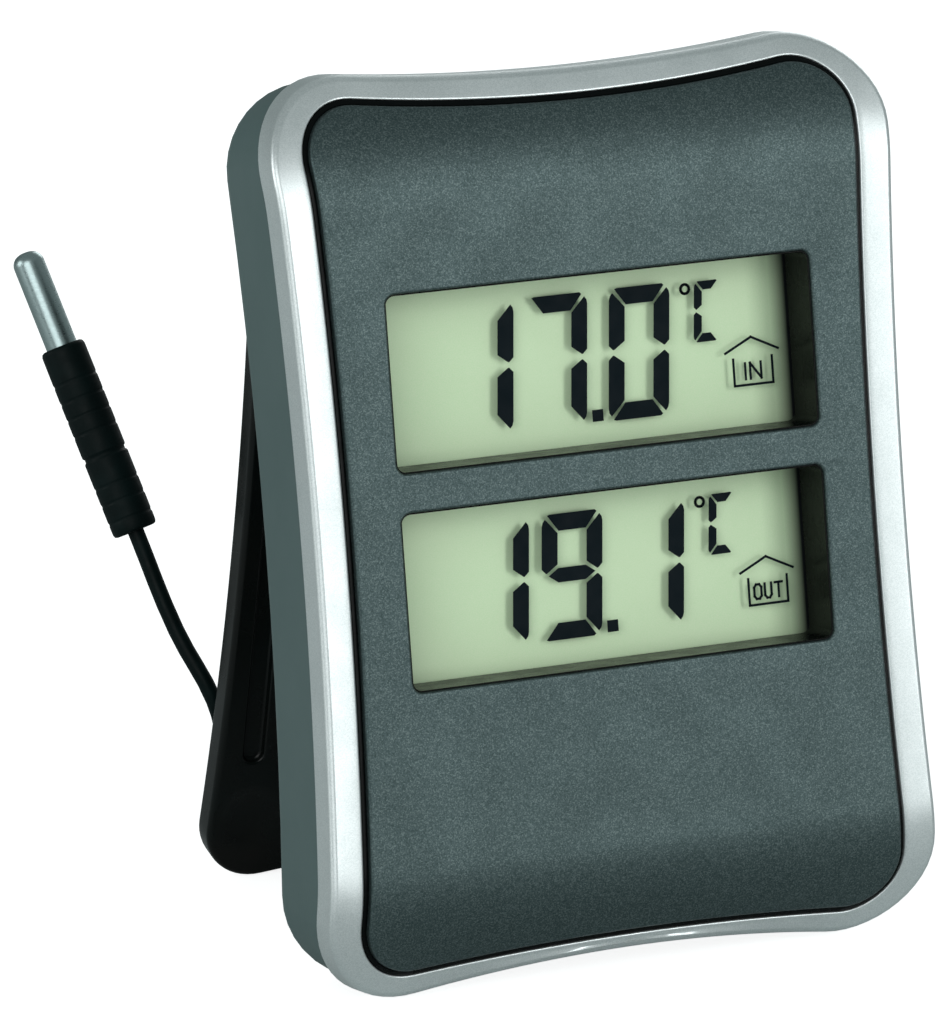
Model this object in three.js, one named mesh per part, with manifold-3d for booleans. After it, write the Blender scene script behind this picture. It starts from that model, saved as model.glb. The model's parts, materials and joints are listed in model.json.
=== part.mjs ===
// Digital maximum minimum thermometer: a pincushion case on a fold-out stand, with a wired outdoor probe.
// Millimetres, +Z up, front towards -Y. The case is built in its face frame, where x is to the right, y is
// up the face and z is out of the face, and is then leaned back on its open stand.
import * as THREE from "three";
import { mergeVertices } from "three/addons/utils/BufferGeometryUtils.js";
import Module from "manifold-3d";

const wasm = await Module();
wasm.setup();

// ---- driving dimensions ---------------------------------------------------------------------------------
const GAP = 0.3; // running gap between pieces that touch
const LEAN = THREE.MathUtils.degToRad(10.5); // how far the case leans back on its stand
const ARC_STEPS = 10; // chords in each arc of an outline

// Outline of the case, seen from the front: four hollow sides between round corners.
const CASE = { halfWidth: 36.4, halfHeight: 50.25, sideDip: 1.25, topDip: 1.4, bottomDip: 2.05, corner: 10 };
const CASE_REAR = -20; // z of the flat rear face
const REAR_ROUND = 4; // rounding between the side walls and the rear face
const WALL = 1.8;
const SHELL_INSET = 0.5; // the shell's wall stands this far inside the bezel's
const TAPER = 0.0006; // the shell narrows towards the rear by this share for each millimetre

// The face is flat in the middle and rolls back towards both ends.
const ROLL_START = 35.5;
const ROLL_RATE = 0.0295;
const BEZEL_DEPTH = 3.9;

// Inner edge of the bezel, and the panel inside it.
const LIP = { halfWidth: 32.6, halfHeight: 47.7, sideDip: 1.2, topDip: 1.7, bottomDip: 1.2, corner: 6.4 };
const PANEL_GAP = 0.8;
const PANEL_PROUD = 0.6;
const PANEL_BACK = -2.1;
const LEDGE = 2.0; // how far the bezel's ledge reaches in behind the panel

// The two display windows.
const WINDOW_HALF_WIDTH = 25.2;
const WINDOW_CORNER = 1.2;
const UPPER_WINDOW = [7.3, 26.7];
const LOWER_WINDOW = [-16.4, 3.1];

// Display, circuit board and what stands on it.
const GLASS = { halfWidth: 27, bottom: -18.3, top: 28.6, front: -5.6, back: -7.2 };
const CARRIER = { halfWidth: 28.4, bottom: -19.6, top: 29.9, front: -2.5, back: -7.3 };
const STRIP_BACK = -9.7;
const BOARD = { halfWidth: 28, bottom: -19.6, top: 36.5, front: -10, back: -11.2 };
const SWITCH_BACK = -13.6;

// AAA cell, lying across the case, and its bay.
const CELL = { radius: 5.25, length: 43.6, capRadius: 1.9, capLength: 0.9, y: -27.6, z: -9.8 };
const BAY = { halfWidth: 25.6, halfHeight: 5.8, front: -3.95, wall: 1.2 };
const DOOR = { halfWidth: 22.4, halfHeight: 7.2, thickness: 1.5 };
const DOOR_MOUTH = { halfWidth: 21.2, halfHeight: 5.7 };

// Stand: a frame-shaped leg that folds into the rear of the shell.
const STAND = {
  halfWidth: 31.8,
  top: 39,
  bottom: -49.35,
  sideDip: 1.1,
  topDip: 0.4,
  bottomDip: 1.2,
  corner: 6.4,
};
const STAND_WINDOW = { halfWidth: 23.7, bottom: -37.5, top: 27.5, corner: 3 };
const STAND_THICKNESS = 3.5;
const STAND_OPEN = THREE.MathUtils.degToRad(23.8);
const HINGE = { y: 36, z: -18.1, pin: 1.1, socket: 1.4, reach: 33.2 };
const RECESS_FLOOR = -16;
const HINGE_FLOOR = -15;
const HEEL_ROOM = 1; // room for the stand's upper edge as it swings
const RECESS_WALL = 1.4;
const ARM_CHANNEL = { inner: 25.8, outer: 28.3, bottom: -34, top: 29, corner: 1.2, depth: 0.8 };
const FOOT_DISH = { x: 27, y: -41.3, radius: 3.9, depth: 0.7 };

// Wall hook above the stand, and the battery wires.
const KEYHOLE = { y: 43, head: 2.1, neck: 1, rise: 2.9 };
const WIRE = { radius: 0.4, x: 23.25, z: -12.7 };

// Fasteners: four case screws into posts on the bezel, two board screws into pillars on the shell.
const CASE_SCREWS = [
  [-28.4, 43],
  [28.4, 43],
  [-28.4, -42.6],
  [28.4, -42.6],
];
const SCREW = { head: 1.9, shank: 1.05, headBack: -15.9, headFront: -14.5, tip: -7.5 };
const POST = { radius: 2.6, hole: 1.35, back: -12.6 };
const SHOULDER = { radius: 3.2, bore: 2.3, front: -12.9, seat: -14.2 };
const BOARD_SCREWS = [
  [-24, 32.5],
  [24, 32.5],
];

// Controls on the rear face.
const BUTTONS = [
  { name: "max_min_button", x: -14, y: 19, radius: 3.2 },
  { name: "reset_button", x: 0, y: 19, radius: 2.4 },
];
const BUTTON = { proud: 0.7, flange: 0.8, flangeThickness: 0.9, travel: 0.6 };
const UNIT_SWITCH = { x: 14, y: 19, slotHalf: 3.2, slotHeight: 1.6, travel: 2 };

// Sensor cable: where it leaves the rear face, and its own size.
const CABLE_RADIUS = 0.95;
const CABLE_EXIT = { x: 15, y: -13, grommet: 2.3, flange: 3.4, reach: 7 };
const PROBE = { sleeve: 2.6, sleeveLength: 22.5, tip: 1.8, tipLength: 11.4, tipWall: 0.35 };
const FINE_GROOVES = { at: [1.7, 3.9, 5.9, 12.3, 14.3, 16.3, 18.4], halfWidth: 0.2, depth: 0.14 };
const DEEP_GROOVE = { at: [9.35], halfWidth: 0.4, depth: 0.6 };

// The cable's lie on the table behind the case, in the part's own frame: a tied coil, a free run from the
// rear face down to it, and a free run from it up behind the stand to the probe.
const COIL = { x: 24, y: 58, mean: 17, width: 13.4, height: 7, base: 0.8 };
const TIE = { band: 0.4, width: 3, angle: THREE.MathUtils.degToRad(75) };
const RUN_TO_COIL = [
  [15, 9.5, 32.7],
  [15.5, 14, 31],
  [16.8, 18.4, 28],
  [18.9, 22.5, 23.6],
  [22.2, 26.2, 18],
  [26.4, 29.6, 12.2],
  [31.2, 32.7, 7],
  [36.4, 35.8, 3.2],
  [41, 39.2, 1.6],
  [44.6, 43, 1.4],
  [46.6, 47.5, 1.45],
];
const RUN_TO_PROBE = [
  [1.1, 48, 5.8],
  [-0.6, 42.5, 3.8],
  [-3.4, 37.7, 1.8],
  [-7.6, 33.8, 1],
  [-12.6, 31.2, 1.02],
  [-17.8, 29.5, 1.8],
  [-22.5, 28.2, 4.6],
  [-26, 26.4, 9.4],
  [-28.3, 24.7, 15.5],
  [-30.2, 23.4, 21.5],
  [-33.35, 27, 29.3],
  [-36.3, 31.73, 40.1],
];
const PROBE_DIRECTION = [-0.2362, 0.3885, 0.8906]; // the way the probe points, from the cable's end

// ---- colours --------------------------------------------------------------------------------------------
function finish(color, roughness, metalness = 0) {
  return new THREE.MeshStandardMaterial({ color, roughness, metalness });
}

const SATIN_SILVER = finish(0xc9cccd, 0.35, 0.8);
const ANTHRACITE = finish(0x4d5557, 0.45, 0.3);
const SHELL_GREY = finish(0x545b5a, 0.5);
const BLACK = finish(0x0d0f10, 0.35);
const RUBBER = finish(0x101213, 0.75);
const LCD_GREEN = finish(0xc4cfa4, 0.25);
const BOARD_GREEN = finish(0x1f5a38, 0.5);
const STEEL = finish(0xb9bec0, 0.25, 1);
const CELL_JACKET = finish(0x8a8f94, 0.4, 0.5);
const PALE = finish(0xb8bab6, 0.6);

// ---- solids ---------------------------------------------------------------------------------------------
// A closed geometry as a solid that can be joined and cut.
function solid(geometry) {
  const bare = new THREE.BufferGeometry();
  bare.setAttribute("position", geometry.getAttribute("position"));
  if (geometry.index) bare.setIndex(geometry.index);
  const merged = mergeVertices(bare, 1e-4);
  const vertProperties = new Float32Array(merged.attributes.position.array);
  const triVerts = new Uint32Array(merged.index.array);
  return new wasm.Manifold(new wasm.Mesh({ numProp: 3, vertProperties, triVerts }));
}

function meshOf(name, body, material) {
  const { numProp, numVert, vertProperties, triVerts } = body.getMesh();
  const position = new Float32Array(numVert * 3);
  for (let i = 0; i < numVert; i += 1) {
    position.set(vertProperties.subarray(i * numProp, i * numProp + 3), i * 3);
  }
  const geometry = new THREE.BufferGeometry();
  geometry.setAttribute("position", new THREE.BufferAttribute(position, 3));
  geometry.setIndex(new THREE.BufferAttribute(new Uint32Array(triVerts), 1));
  geometry.computeVertexNormals();
  const mesh = new THREE.Mesh(geometry, material);
  mesh.name = name;
  return mesh;
}

const joined = (bodies) => bodies.reduce((all, body) => all.add(body));
const cut = (body, tools) => tools.reduce((left, tool) => left.subtract(tool), body);

// An outline drawn on the face and extruded between two depths.
function prism(points, z0, z1) {
  const shape = new THREE.Shape(points);
  const geometry = new THREE.ExtrudeGeometry(shape, { depth: z1 - z0, bevelEnabled: false });
  return solid(geometry.translate(0, 0, z0));
}

function block(x0, x1, y0, y1, z0, z1) {
  const geometry = new THREE.BoxGeometry(x1 - x0, y1 - y0, z1 - z0);
  return solid(geometry.translate((x0 + x1) / 2, (y0 + y1) / 2, (z0 + z1) / 2));
}

// A round bar along the face's z axis.
function bar(x, y, radius, z0, z1, sides = 20) {
  const geometry = new THREE.CylinderGeometry(radius, radius, z1 - z0, sides);
  return solid(geometry.rotateX(Math.PI / 2).translate(x, y, (z0 + z1) / 2));
}

// A round bar along x.
function crossBar(x0, x1, y, z, radius, sides = 20) {
  const geometry = new THREE.CylinderGeometry(radius, radius, x1 - x0, sides);
  return solid(geometry.rotateZ(Math.PI / 2).translate((x0 + x1) / 2, y, z));
}

// ---- outlines -------------------------------------------------------------------------------------------
function addArc(points, x, y, radius, from, to) {
  for (let i = 0; i < ARC_STEPS; i += 1) {
    const angle = from + ((to - from) * i) / ARC_STEPS;
    points.push(new THREE.Vector2(x + radius * Math.cos(angle), y + radius * Math.sin(angle)));
  }
}

// A hollow side's arc touches the two round corners beside it: its radius, and its half angle.
function hollowSide(cornerCentre, corner, dip) {
  const radius = (cornerCentre ** 2 + (corner - dip) ** 2 - corner ** 2) / (2 * dip);
  return { radius, angle: Math.asin(cornerCentre / (radius + corner)) };
}

// Pincushion outline, anticlockwise, moved in by inset all round and centred on centreY.
function pincushion({ halfWidth, halfHeight, sideDip, topDip, bottomDip, corner }, inset = 0, centreY = 0) {
  const cx = halfWidth - corner;
  const cy = halfHeight - corner;
  const side = hollowSide(cy, corner, sideDip);
  const top = hollowSide(cx, corner, topDip);
  const bottom = hollowSide(cx, corner, bottomDip);
  const sideX = halfWidth - sideDip + side.radius;
  const topY = centreY + halfHeight - topDip + top.radius;
  const bottomY = centreY - halfHeight + bottomDip - bottom.radius;
  const round = corner - inset;
  const quarter = Math.PI / 2;
  const points = [];
  addArc(points, sideX, centreY, side.radius + inset, 2 * quarter + side.angle, 2 * quarter - side.angle);
  addArc(points, cx, centreY + cy, round, -side.angle, quarter + top.angle);
  addArc(points, 0, topY, top.radius + inset, -quarter + top.angle, -quarter - top.angle);
  addArc(points, -cx, centreY + cy, round, quarter - top.angle, 2 * quarter + side.angle);
  addArc(points, -sideX, centreY, side.radius + inset, side.angle, -side.angle);
  addArc(points, -cx, centreY - cy, round, 2 * quarter - side.angle, 3 * quarter + bottom.angle);
  addArc(points, 0, bottomY, bottom.radius + inset, quarter + bottom.angle, quarter - bottom.angle);
  addArc(points, cx, centreY - cy, round, 3 * quarter - bottom.angle, 4 * quarter + side.angle);
  return points;
}

function roundedRectangle(x0, x1, y0, y1, corner) {
  const quarter = Math.PI / 2;
  const points = [];
  const corners = [
    [x1 - corner, y1 - corner],
    [x0 + corner, y1 - corner],
    [x0 + corner, y0 + corner],
    [x1 - corner, y0 + corner],
  ];
  corners.forEach(([x, y], i) => {
    addArc(points, x, y, corner, quarter * i, quarter * (i + 1));
    const end = quarter * (i + 1);
    points.push(new THREE.Vector2(x + corner * Math.cos(end), y + corner * Math.sin(end)));
  });
  return points;
}

const roll = (y) => -ROLL_RATE * Math.max(0, Math.abs(y) - ROLL_START) ** 2;

// Everything between two depths that both follow the roll of the face.
function rolledSlab(z0, z1) {
  const reach = CASE.halfHeight + 2;
  const steps = 9;
  const ys = [];
  for (let i = 0; i <= steps; i += 1) ys.push(ROLL_START + ((reach - ROLL_START) * i) / steps);
  const all = [...ys.map((y) => -y).reverse(), ...ys];
  const lower = all.map((y) => new THREE.Vector2(y, z0 + roll(y)));
  const upper = all.map((y) => new THREE.Vector2(y, z1 + roll(y))).reverse();
  const width = 2 * (CASE.halfWidth + 4);
  const geometry = new THREE.ExtrudeGeometry(new THREE.Shape([...lower, ...upper]), {
    depth: width,
    bevelEnabled: false,
  });
  // The section is drawn in (y, z), so its axes are turned from (x, y, z) to (y, z, x).
  const turn = new THREE.Matrix4().makeBasis(
    new THREE.Vector3(0, 1, 0),
    new THREE.Vector3(0, 0, 1),
    new THREE.Vector3(1, 0, 0),
  );
  return solid(geometry.applyMatrix4(turn).translate(-width / 2, 0, 0));
}

// ---- front of the case ----------------------------------------------------------------------------------
function windowTool([bottom, top], z0, z1, grow = 0) {
  const reach = WINDOW_HALF_WIDTH + grow;
  return prism(roundedRectangle(-reach, reach, bottom - grow, top + grow, WINDOW_CORNER), z0, z1);
}

function frontBezel() {
  const outer = prism(pincushion(CASE), -20, 2);
  const throat = prism(pincushion(LIP), -20, 2);
  const ledgeHole = prism(pincushion(LIP, LEDGE), -20, 2);
  const pocketWall = prism(pincushion(CASE, WALL), -20, 2);
  const rim = outer.subtract(throat).intersect(rolledSlab(-BEZEL_DEPTH, 0));
  const ledge = pocketWall.subtract(ledgeHole).intersect(rolledSlab(-BEZEL_DEPTH, PANEL_BACK - GAP));
  const behindPanel = rolledSlab(-60, PANEL_BACK - GAP);
  const posts = CASE_SCREWS.map(([x, y]) => bar(x, y, POST.radius, POST.back, 0).intersect(behindPanel));
  const holes = CASE_SCREWS.map(([x, y]) => {
    return bar(x, y, POST.hole, POST.back - 1, PANEL_BACK - 2.2 + roll(y), 12);
  });
  return cut(joined([rim, ledge, ...posts]), holes);
}

function frontPanel() {
  const plate = prism(pincushion(LIP, PANEL_GAP), -20, 4).intersect(rolledSlab(PANEL_BACK, PANEL_PROUD));
  return cut(plate, [windowTool(UPPER_WINDOW, -4, 4), windowTool(LOWER_WINDOW, -4, 4)]);
}

function displayCarrier() {
  const { halfWidth, bottom, top, front, back } = CARRIER;
  const frame = block(-halfWidth, halfWidth, bottom, top, back, front);
  const pocket = block(
    -GLASS.halfWidth - GAP,
    GLASS.halfWidth + GAP,
    GLASS.bottom - GAP,
    GLASS.top + GAP,
    back - 1,
    GLASS.front + GAP,
  );
  return cut(frame, [pocket, windowTool(UPPER_WINDOW, -9, 0, -0.4), windowTool(LOWER_WINDOW, -9, 0, -0.4)]);
}

const displayGlass = () =>
  block(-GLASS.halfWidth, GLASS.halfWidth, GLASS.bottom, GLASS.top, GLASS.back, GLASS.front);

// Rubber strip that carries the display's signals to the board.
const contactStrip = (y) => block(-24, 24, y - 1.1, y + 1.1, STRIP_BACK, GLASS.back - GAP);

// ---- electronics ----------------------------------------------------------------------------------------
function mainBoard() {
  const { halfWidth, bottom, top, front, back } = BOARD;
  const plate = block(-halfWidth, halfWidth, bottom, top, back, front);
  return cut(plate, BOARD_SCREWS.map(([x, y]) => bar(x, y, 1.3, back - 1, front + 1, 12)));
}

const controllerChip = () => {
  const dome = new THREE.SphereGeometry(9, 16, 8).scale(1, 1, 0.19).translate(0, 2, BOARD.back - GAP);
  return solid(dome).intersect(block(-10, 10, -8, 12, BOARD.back - 3, BOARD.back - GAP));
};

const airSensor = () => {
  const bead = new THREE.SphereGeometry(1.5, 12, 8).scale(1, 1.3, 1).translate(-20, 2, -13.2);
  return solid(bead);
};

const clickSwitch = ({ x, y }) => {
  const body = block(x - 2.2, x + 2.2, y - 2.2, y + 2.2, SWITCH_BACK + 0.8, BOARD.back - GAP);
  return body.add(bar(x, y, 1.2, SWITCH_BACK, BOARD.back - 1, 12));
};

const boardScrew = ([x, y]) => {
  const head = bar(x, y, 2, BOARD.front + GAP, BOARD.front + 1.5, 12);
  return head.add(bar(x, y, 0.95, BOARD.back - 2.9, BOARD.front + 1, 8));
};

// ---- battery --------------------------------------------------------------------------------------------
const cell = () => {
  const { radius, length, capRadius, capLength, y, z } = CELL;
  const can = crossBar(-length / 2, length / 2, y, z, radius, 24);
  return can.add(crossBar(length / 2 - 0.5, length / 2 + capLength, y, z, capRadius, 12));
};

// Flat contact that the cell's cap bears on.
const positiveContact = () => {
  const x = CELL.length / 2 + CELL.capLength + GAP;
  return block(x, x + 0.5, CELL.y - 4, CELL.y + 4, CELL.z - 3.6, CELL.z + 3.6);
};

// Conical spring that the cell's base bears on, drawn as its wire.
function negativeContact() {
  const turns = 3;
  const perTurn = 10;
  const start = -CELL.length / 2 - GAP - 0.35;
  const end = -BAY.halfWidth + 0.75;
  const points = [];
  for (let i = 0; i <= turns * perTurn; i += 1) {
    const share = i / (turns * perTurn);
    const angle = share * turns * 2 * Math.PI;
    const radius = 1.8 + 2 * share;
    points.push(
      new THREE.Vector3(
        start + (end - start) * share,
        CELL.y + radius * Math.cos(angle),
        CELL.z + radius * Math.sin(angle),
      ),
    );
  }
  return solid(tube(points, 0.3, 5, turns * perTurn));
}

// ---- cable tubes ----------------------------------------------------------------------------------------
function tube(points, radius, sides, steps) {
  const section = [];
  for (let i = 0; i < sides; i += 1) {
    const angle = (2 * Math.PI * i) / sides;
    section.push(new THREE.Vector2(radius * Math.cos(angle), radius * Math.sin(angle)));
  }
  return new THREE.ExtrudeGeometry(new THREE.Shape(section), {
    extrudePath: new THREE.CatmullRomCurve3(points),
    steps,
    bevelEnabled: false,
  });
}

// ---- rear of the case -----------------------------------------------------------------------------------
// The shell's outline, growing narrower towards the rear.
function taperedHull(inset, z0, round) {
  const z1 = 1;
  const geometry = new THREE.ExtrudeGeometry(new THREE.Shape(pincushion(CASE, inset)), {
    depth: z1 - z0 - round,
    bevelThickness: round,
    bevelSize: round,
    bevelOffset: -round,
    bevelSegments: 6,
  });
  geometry.translate(0, 0, z0 + round);
  const position = geometry.getAttribute("position");
  for (let i = 0; i < position.count; i += 1) {
    const share = 1 + TAPER * Math.min(0, position.getZ(i));
    position.setXY(i, position.getX(i) * share, position.getY(i) * share);
  }
  return solid(geometry);
}

// The stand's own outline, drawn folded flat, and its window.
function standOutline(grow) {
  const halfHeight = (STAND.top - STAND.bottom) / 2;
  return pincushion({ ...STAND, halfHeight }, -grow, (STAND.top + STAND.bottom) / 2);
}

function standWindow(shrink) {
  const { halfWidth, bottom, top, corner } = STAND_WINDOW;
  return roundedRectangle(-halfWidth + shrink, halfWidth - shrink, bottom + shrink, top - shrink, corner);
}

function standRecess() {
  const front = HINGE_FLOOR + 1;
  const whole = prism(standOutline(0.4), CASE_REAR - 1, front);
  const openEnd = block(-26, 26, STAND.bottom - 4, STAND.bottom + 8, CASE_REAR - 1, RECESS_FLOOR);
  const shallow = whole.intersect(block(-40, 40, -60, 60, CASE_REAR - 1, RECESS_FLOOR)).add(openEnd);
  const heel = prism(standOutline(HEEL_ROOM), CASE_REAR - 1, front);
  const deep = heel.intersect(block(-40, 40, HINGE.y - 3.2, 60, CASE_REAR - 1, HINGE_FLOOR));
  return shallow.add(deep).subtract(prism(standWindow(0.4), CASE_REAR - 2, front + 1));
}

// Solid backing in front of the recess, so that the shell stays closed behind the stand.
function recessBacking() {
  const outline = standOutline(HEEL_ROOM + RECESS_WALL);
  const hole = prism(standWindow(0.4 + RECESS_WALL), CASE_REAR - 2, 0);
  const low = prism(outline, CASE_REAR + 1, RECESS_FLOOR + RECESS_WALL);
  const high = prism(outline, CASE_REAR + 1, HINGE_FLOOR + RECESS_WALL);
  return low.add(high.intersect(block(-40, 40, HINGE.y - 3.2 - RECESS_WALL, 60, -30, 0))).subtract(hole);
}

function batteryBay() {
  const { halfWidth, halfHeight, front, wall } = BAY;
  const [low, high] = [CELL.y - halfHeight, CELL.y + halfHeight];
  return block(-halfWidth - wall, halfWidth + wall, low - wall, high + wall, CASE_REAR + 1, front + wall);
}

function batteryBayTools() {
  const { halfWidth, halfHeight, front } = BAY;
  const seat = CASE_REAR + DOOR.thickness + GAP;
  const [low, high] = [CELL.y - halfHeight, CELL.y + halfHeight];
  const inside = block(-halfWidth, halfWidth, low, high, CASE_REAR + WALL + 1.6, front);
  const mouth = block(
    -DOOR_MOUTH.halfWidth,
    DOOR_MOUTH.halfWidth,
    CELL.y - DOOR_MOUTH.halfHeight,
    CELL.y + DOOR_MOUTH.halfHeight,
    CASE_REAR - 1,
    CASE_REAR + 6,
  );
  const rebate = block(
    -DOOR.halfWidth - GAP,
    DOOR.halfWidth + GAP,
    CELL.y - DOOR.halfHeight - GAP,
    CELL.y + DOOR.halfHeight + GAP,
    CASE_REAR - 1,
    seat,
  );
  return [inside, mouth, rebate];
}

// Hook for a wall screw: its head goes in at the round hole and its neck slides up the slot.
function keyholeTools() {
  const { y, head, neck, rise } = KEYHOLE;
  const deep = CASE_REAR + 4;
  return [bar(0, y, head, CASE_REAR - 1, deep, 20), block(-neck, neck, y, y + rise, CASE_REAR - 1, deep)];
}

// Opening that a battery wire leaves the bay by.
function wireHoles() {
  const edge = CELL.y + BAY.halfHeight;
  const half = WIRE.radius + 0.5;
  return [-WIRE.x, WIRE.x].map((x) =>
    block(x - half, x + half, edge - 1, edge + BAY.wall + 1, WIRE.z - half, WIRE.z + half),
  );
}

function ventTools() {
  const rows = [-4, -1, 2, 5, 8];
  return rows.map((y) => block(-21, -12, y - 0.6, y + 0.6, CASE_REAR - 1, CASE_REAR + 4));
}

function controlTools() {
  const deep = CASE_REAR + 4;
  const holes = BUTTONS.map(({ x, y, radius }) => bar(x, y, radius + GAP, CASE_REAR - 1, deep, 24));
  const { x, y, slotHalf, slotHeight } = UNIT_SWITCH;
  return [...holes, block(x - slotHalf, x + slotHalf, y - slotHeight, y + slotHeight, CASE_REAR - 1, deep)];
}

function rearShell() {
  const body = taperedHull(SHELL_INSET, CASE_REAR, REAR_ROUND);
  const cavity = taperedHull(SHELL_INSET + WALL, CASE_REAR + WALL, REAR_ROUND - WALL);
  const shoulders = CASE_SCREWS.map(([x, y]) => bar(x, y, SHOULDER.radius, CASE_REAR + 1, SHOULDER.front));
  const pillars = BOARD_SCREWS.map(([x, y]) => bar(x, y, 2.4, HINGE_FLOOR, BOARD.back - GAP, 16));
  const inside = joined([recessBacking(), batteryBay(), ...shoulders, ...pillars]).intersect(body);
  const hull = body.subtract(cavity).add(inside);
  const screwTools = CASE_SCREWS.flatMap(([x, y]) => [
    bar(x, y, SHOULDER.bore, CASE_REAR - 1, SHOULDER.seat, 16),
    bar(x, y, POST.hole, CASE_REAR - 1, 0, 12),
  ]);
  const sockets = crossBar(-HINGE.reach - GAP, HINGE.reach + GAP, HINGE.y, HINGE.z, HINGE.socket, 16);
  const socketEnds = sockets.subtract(block(-31, 31, HINGE.y - 4, HINGE.y + 4, HINGE.z - 4, HINGE.z + 4));
  const tools = [
    standRecess(),
    socketEnds,
    ...screwTools,
    ...BOARD_SCREWS.map(([x, y]) => bar(x, y, 1.25, HINGE_FLOOR + 0.6, 0, 12)),
    ...batteryBayTools(),
    ...keyholeTools(),
    ...wireHoles(),
    ...ventTools(),
    ...controlTools(),
    bar(CABLE_EXIT.x, CABLE_EXIT.y, CABLE_EXIT.grommet + GAP, CASE_REAR - 1, CASE_REAR + 4, 20),
  ];
  return cut(hull, tools).intersect(rolledSlab(-60, -BEZEL_DEPTH - GAP));
}

function batteryDoor() {
  const back = CASE_REAR;
  const front = back + DOOR.thickness;
  const plate = block(
    -DOOR.halfWidth,
    DOOR.halfWidth,
    CELL.y - DOOR.halfHeight,
    CELL.y + DOOR.halfHeight,
    back,
    front,
  );
  const grip = (x) => block(x - 0.4, x + 0.4, CELL.y + 1, CELL.y + 5, back - 1, back + 0.5);
  const grips = [-4, -2, 0, 2, 4].map(grip);
  const ribs = [-12, 12].map((x) => block(x - 0.6, x + 0.6, CELL.y - 4, CELL.y + 4, front - 0.5, -15.4));
  return cut(joined([plate, ...ribs]), grips);
}

// ---- stand ----------------------------------------------------------------------------------------------
// Built folded flat, with the hinge axis on the origin of its own frame.
function standLeg() {
  const [z0, z1] = [HINGE.z - STAND_THICKNESS / 2, HINGE.z + STAND_THICKNESS / 2];
  const frame = prism(standOutline(0), z0, z1).subtract(prism(standWindow(0), z0 - 1, z1 + 1));
  const channels = [-1, 1].map((side) => {
    const { inner, outer, bottom, top, corner, depth: sink } = ARM_CHANNEL;
    const xs = [side * inner, side * outer].sort((a, b) => a - b);
    return prism(roundedRectangle(xs[0], xs[1], bottom, top, corner), z1 - sink, z1 + 1);
  });
  const { x, y, radius, depth } = FOOT_DISH;
  const dishes = [-x, x].map((place) => bar(place, y, radius, z1 - depth, z1 + 1));
  const pins = [-1, 1].map((side) => {
    const xs = [side * 29, side * HINGE.reach].sort((a, b) => a - b);
    return crossBar(xs[0], xs[1], HINGE.y, HINGE.z, HINGE.pin, 16);
  });
  return joined([cut(frame, [...channels, ...dishes]), ...pins]).translate([0, -HINGE.y, -HINGE.z]);
}

// ---- controls -------------------------------------------------------------------------------------------
function pushButton({ x, y, radius }) {
  const inner = CASE_REAR + WALL + GAP;
  const cap = bar(x, y, radius, CASE_REAR - BUTTON.proud, inner + BUTTON.flangeThickness, 24);
  const flange = bar(x, y, radius + BUTTON.flange, inner, inner + BUTTON.flangeThickness, 24);
  const plunger = bar(x, y, 1.1, inner, SWITCH_BACK - BUTTON.travel - GAP, 12);
  return joined([cap, flange, plunger]);
}

function unitSlider() {
  const { x, y, slotHeight } = UNIT_SWITCH;
  const inner = CASE_REAR + WALL + GAP;
  const half = slotHeight - GAP;
  const knob = block(x - 2.1, x + 0.1, y - half, y + half, CASE_REAR - 0.4, inner + 0.5);
  return knob.add(block(x - 3.4, x + 1.4, y - 2.4, y + 2.4, inner, inner + 0.9));
}

const unitSwitchBody = () => {
  const { x, y } = UNIT_SWITCH;
  return block(x - 5, x + 5, y - 2, y + 2, CASE_REAR + WALL + 1.5, BOARD.back - GAP);
};

function caseScrew([x, y]) {
  const head = bar(x, y, SCREW.head, SCREW.headBack, SCREW.headFront, 12);
  const shank = bar(x, y, SCREW.shank, SCREW.headBack + 0.5, SCREW.tip, 8);
  const drive = SCREW.headBack + 0.6;
  const across = block(x - 1.2, x + 1.2, y - 0.25, y + 0.25, CASE_REAR, drive);
  const upright = block(x - 0.25, x + 0.25, y - 1.2, y + 1.2, CASE_REAR, drive);
  return cut(head.add(shank), [across, upright]);
}

// ---- sensor cable and probe -----------------------------------------------------------------------------
// Rubber bush where the sensor cable leaves the rear face, tapering along the cable.
function cableGrommet() {
  const { x, y, grommet, flange, reach } = CABLE_EXIT;
  const bore = CABLE_RADIUS + GAP + 0.1;
  const profile = [
    [bore, -reach],
    [bore + 0.6, -reach],
    [grommet, 0],
    [grommet, WALL + GAP],
    [flange, WALL + GAP],
    [flange, WALL + GAP + 1],
    [bore, WALL + GAP + 1],
    [bore, -reach],
  ].map(([radius, depth]) => new THREE.Vector2(radius, depth));
  const geometry = new THREE.LatheGeometry(profile, 16).rotateX(Math.PI / 2);
  return solid(geometry.translate(x, y, CASE_REAR));
}

// The cable's inner end, from the board out to the tip of the bush.
function innerLead() {
  const { x, y, reach } = CABLE_EXIT;
  const out = CASE_REAR - reach;
  const points = [
    [x - 3, y + 4, BOARD.back - GAP - CABLE_RADIUS],
    [x - 1.4, y + 2, BOARD.back - 2],
    [x, y, BOARD.back - 4.5],
    [x, y, CASE_REAR],
    [x, y, out],
  ].map((place) => new THREE.Vector3(...place));
  return solid(tube(points, CABLE_RADIUS, 8, 12));
}

function batteryWire(side) {
  const points = [
    [WIRE.x, CELL.y + 4.4, WIRE.z],
    [WIRE.x, CELL.y + 6.6, WIRE.z],
    [WIRE.x - 0.4, CELL.y + 9.6, WIRE.z],
    [WIRE.x - 1.4, CELL.y + 12, BOARD.back - GAP - WIRE.radius],
  ].map(([x, y, z]) => new THREE.Vector3(side * x, y, z));
  return solid(tube(points, WIRE.radius, 6, 8));
}

// A free run of the cable, through points in the part's own frame.
function cableRun(points) {
  const path = points.map((place) => new THREE.Vector3(...place));
  const length = new THREE.CatmullRomCurve3(path).getLength();
  return solid(tube(path, CABLE_RADIUS, 8, Math.round(length / (5 * CABLE_RADIUS))));
}

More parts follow.
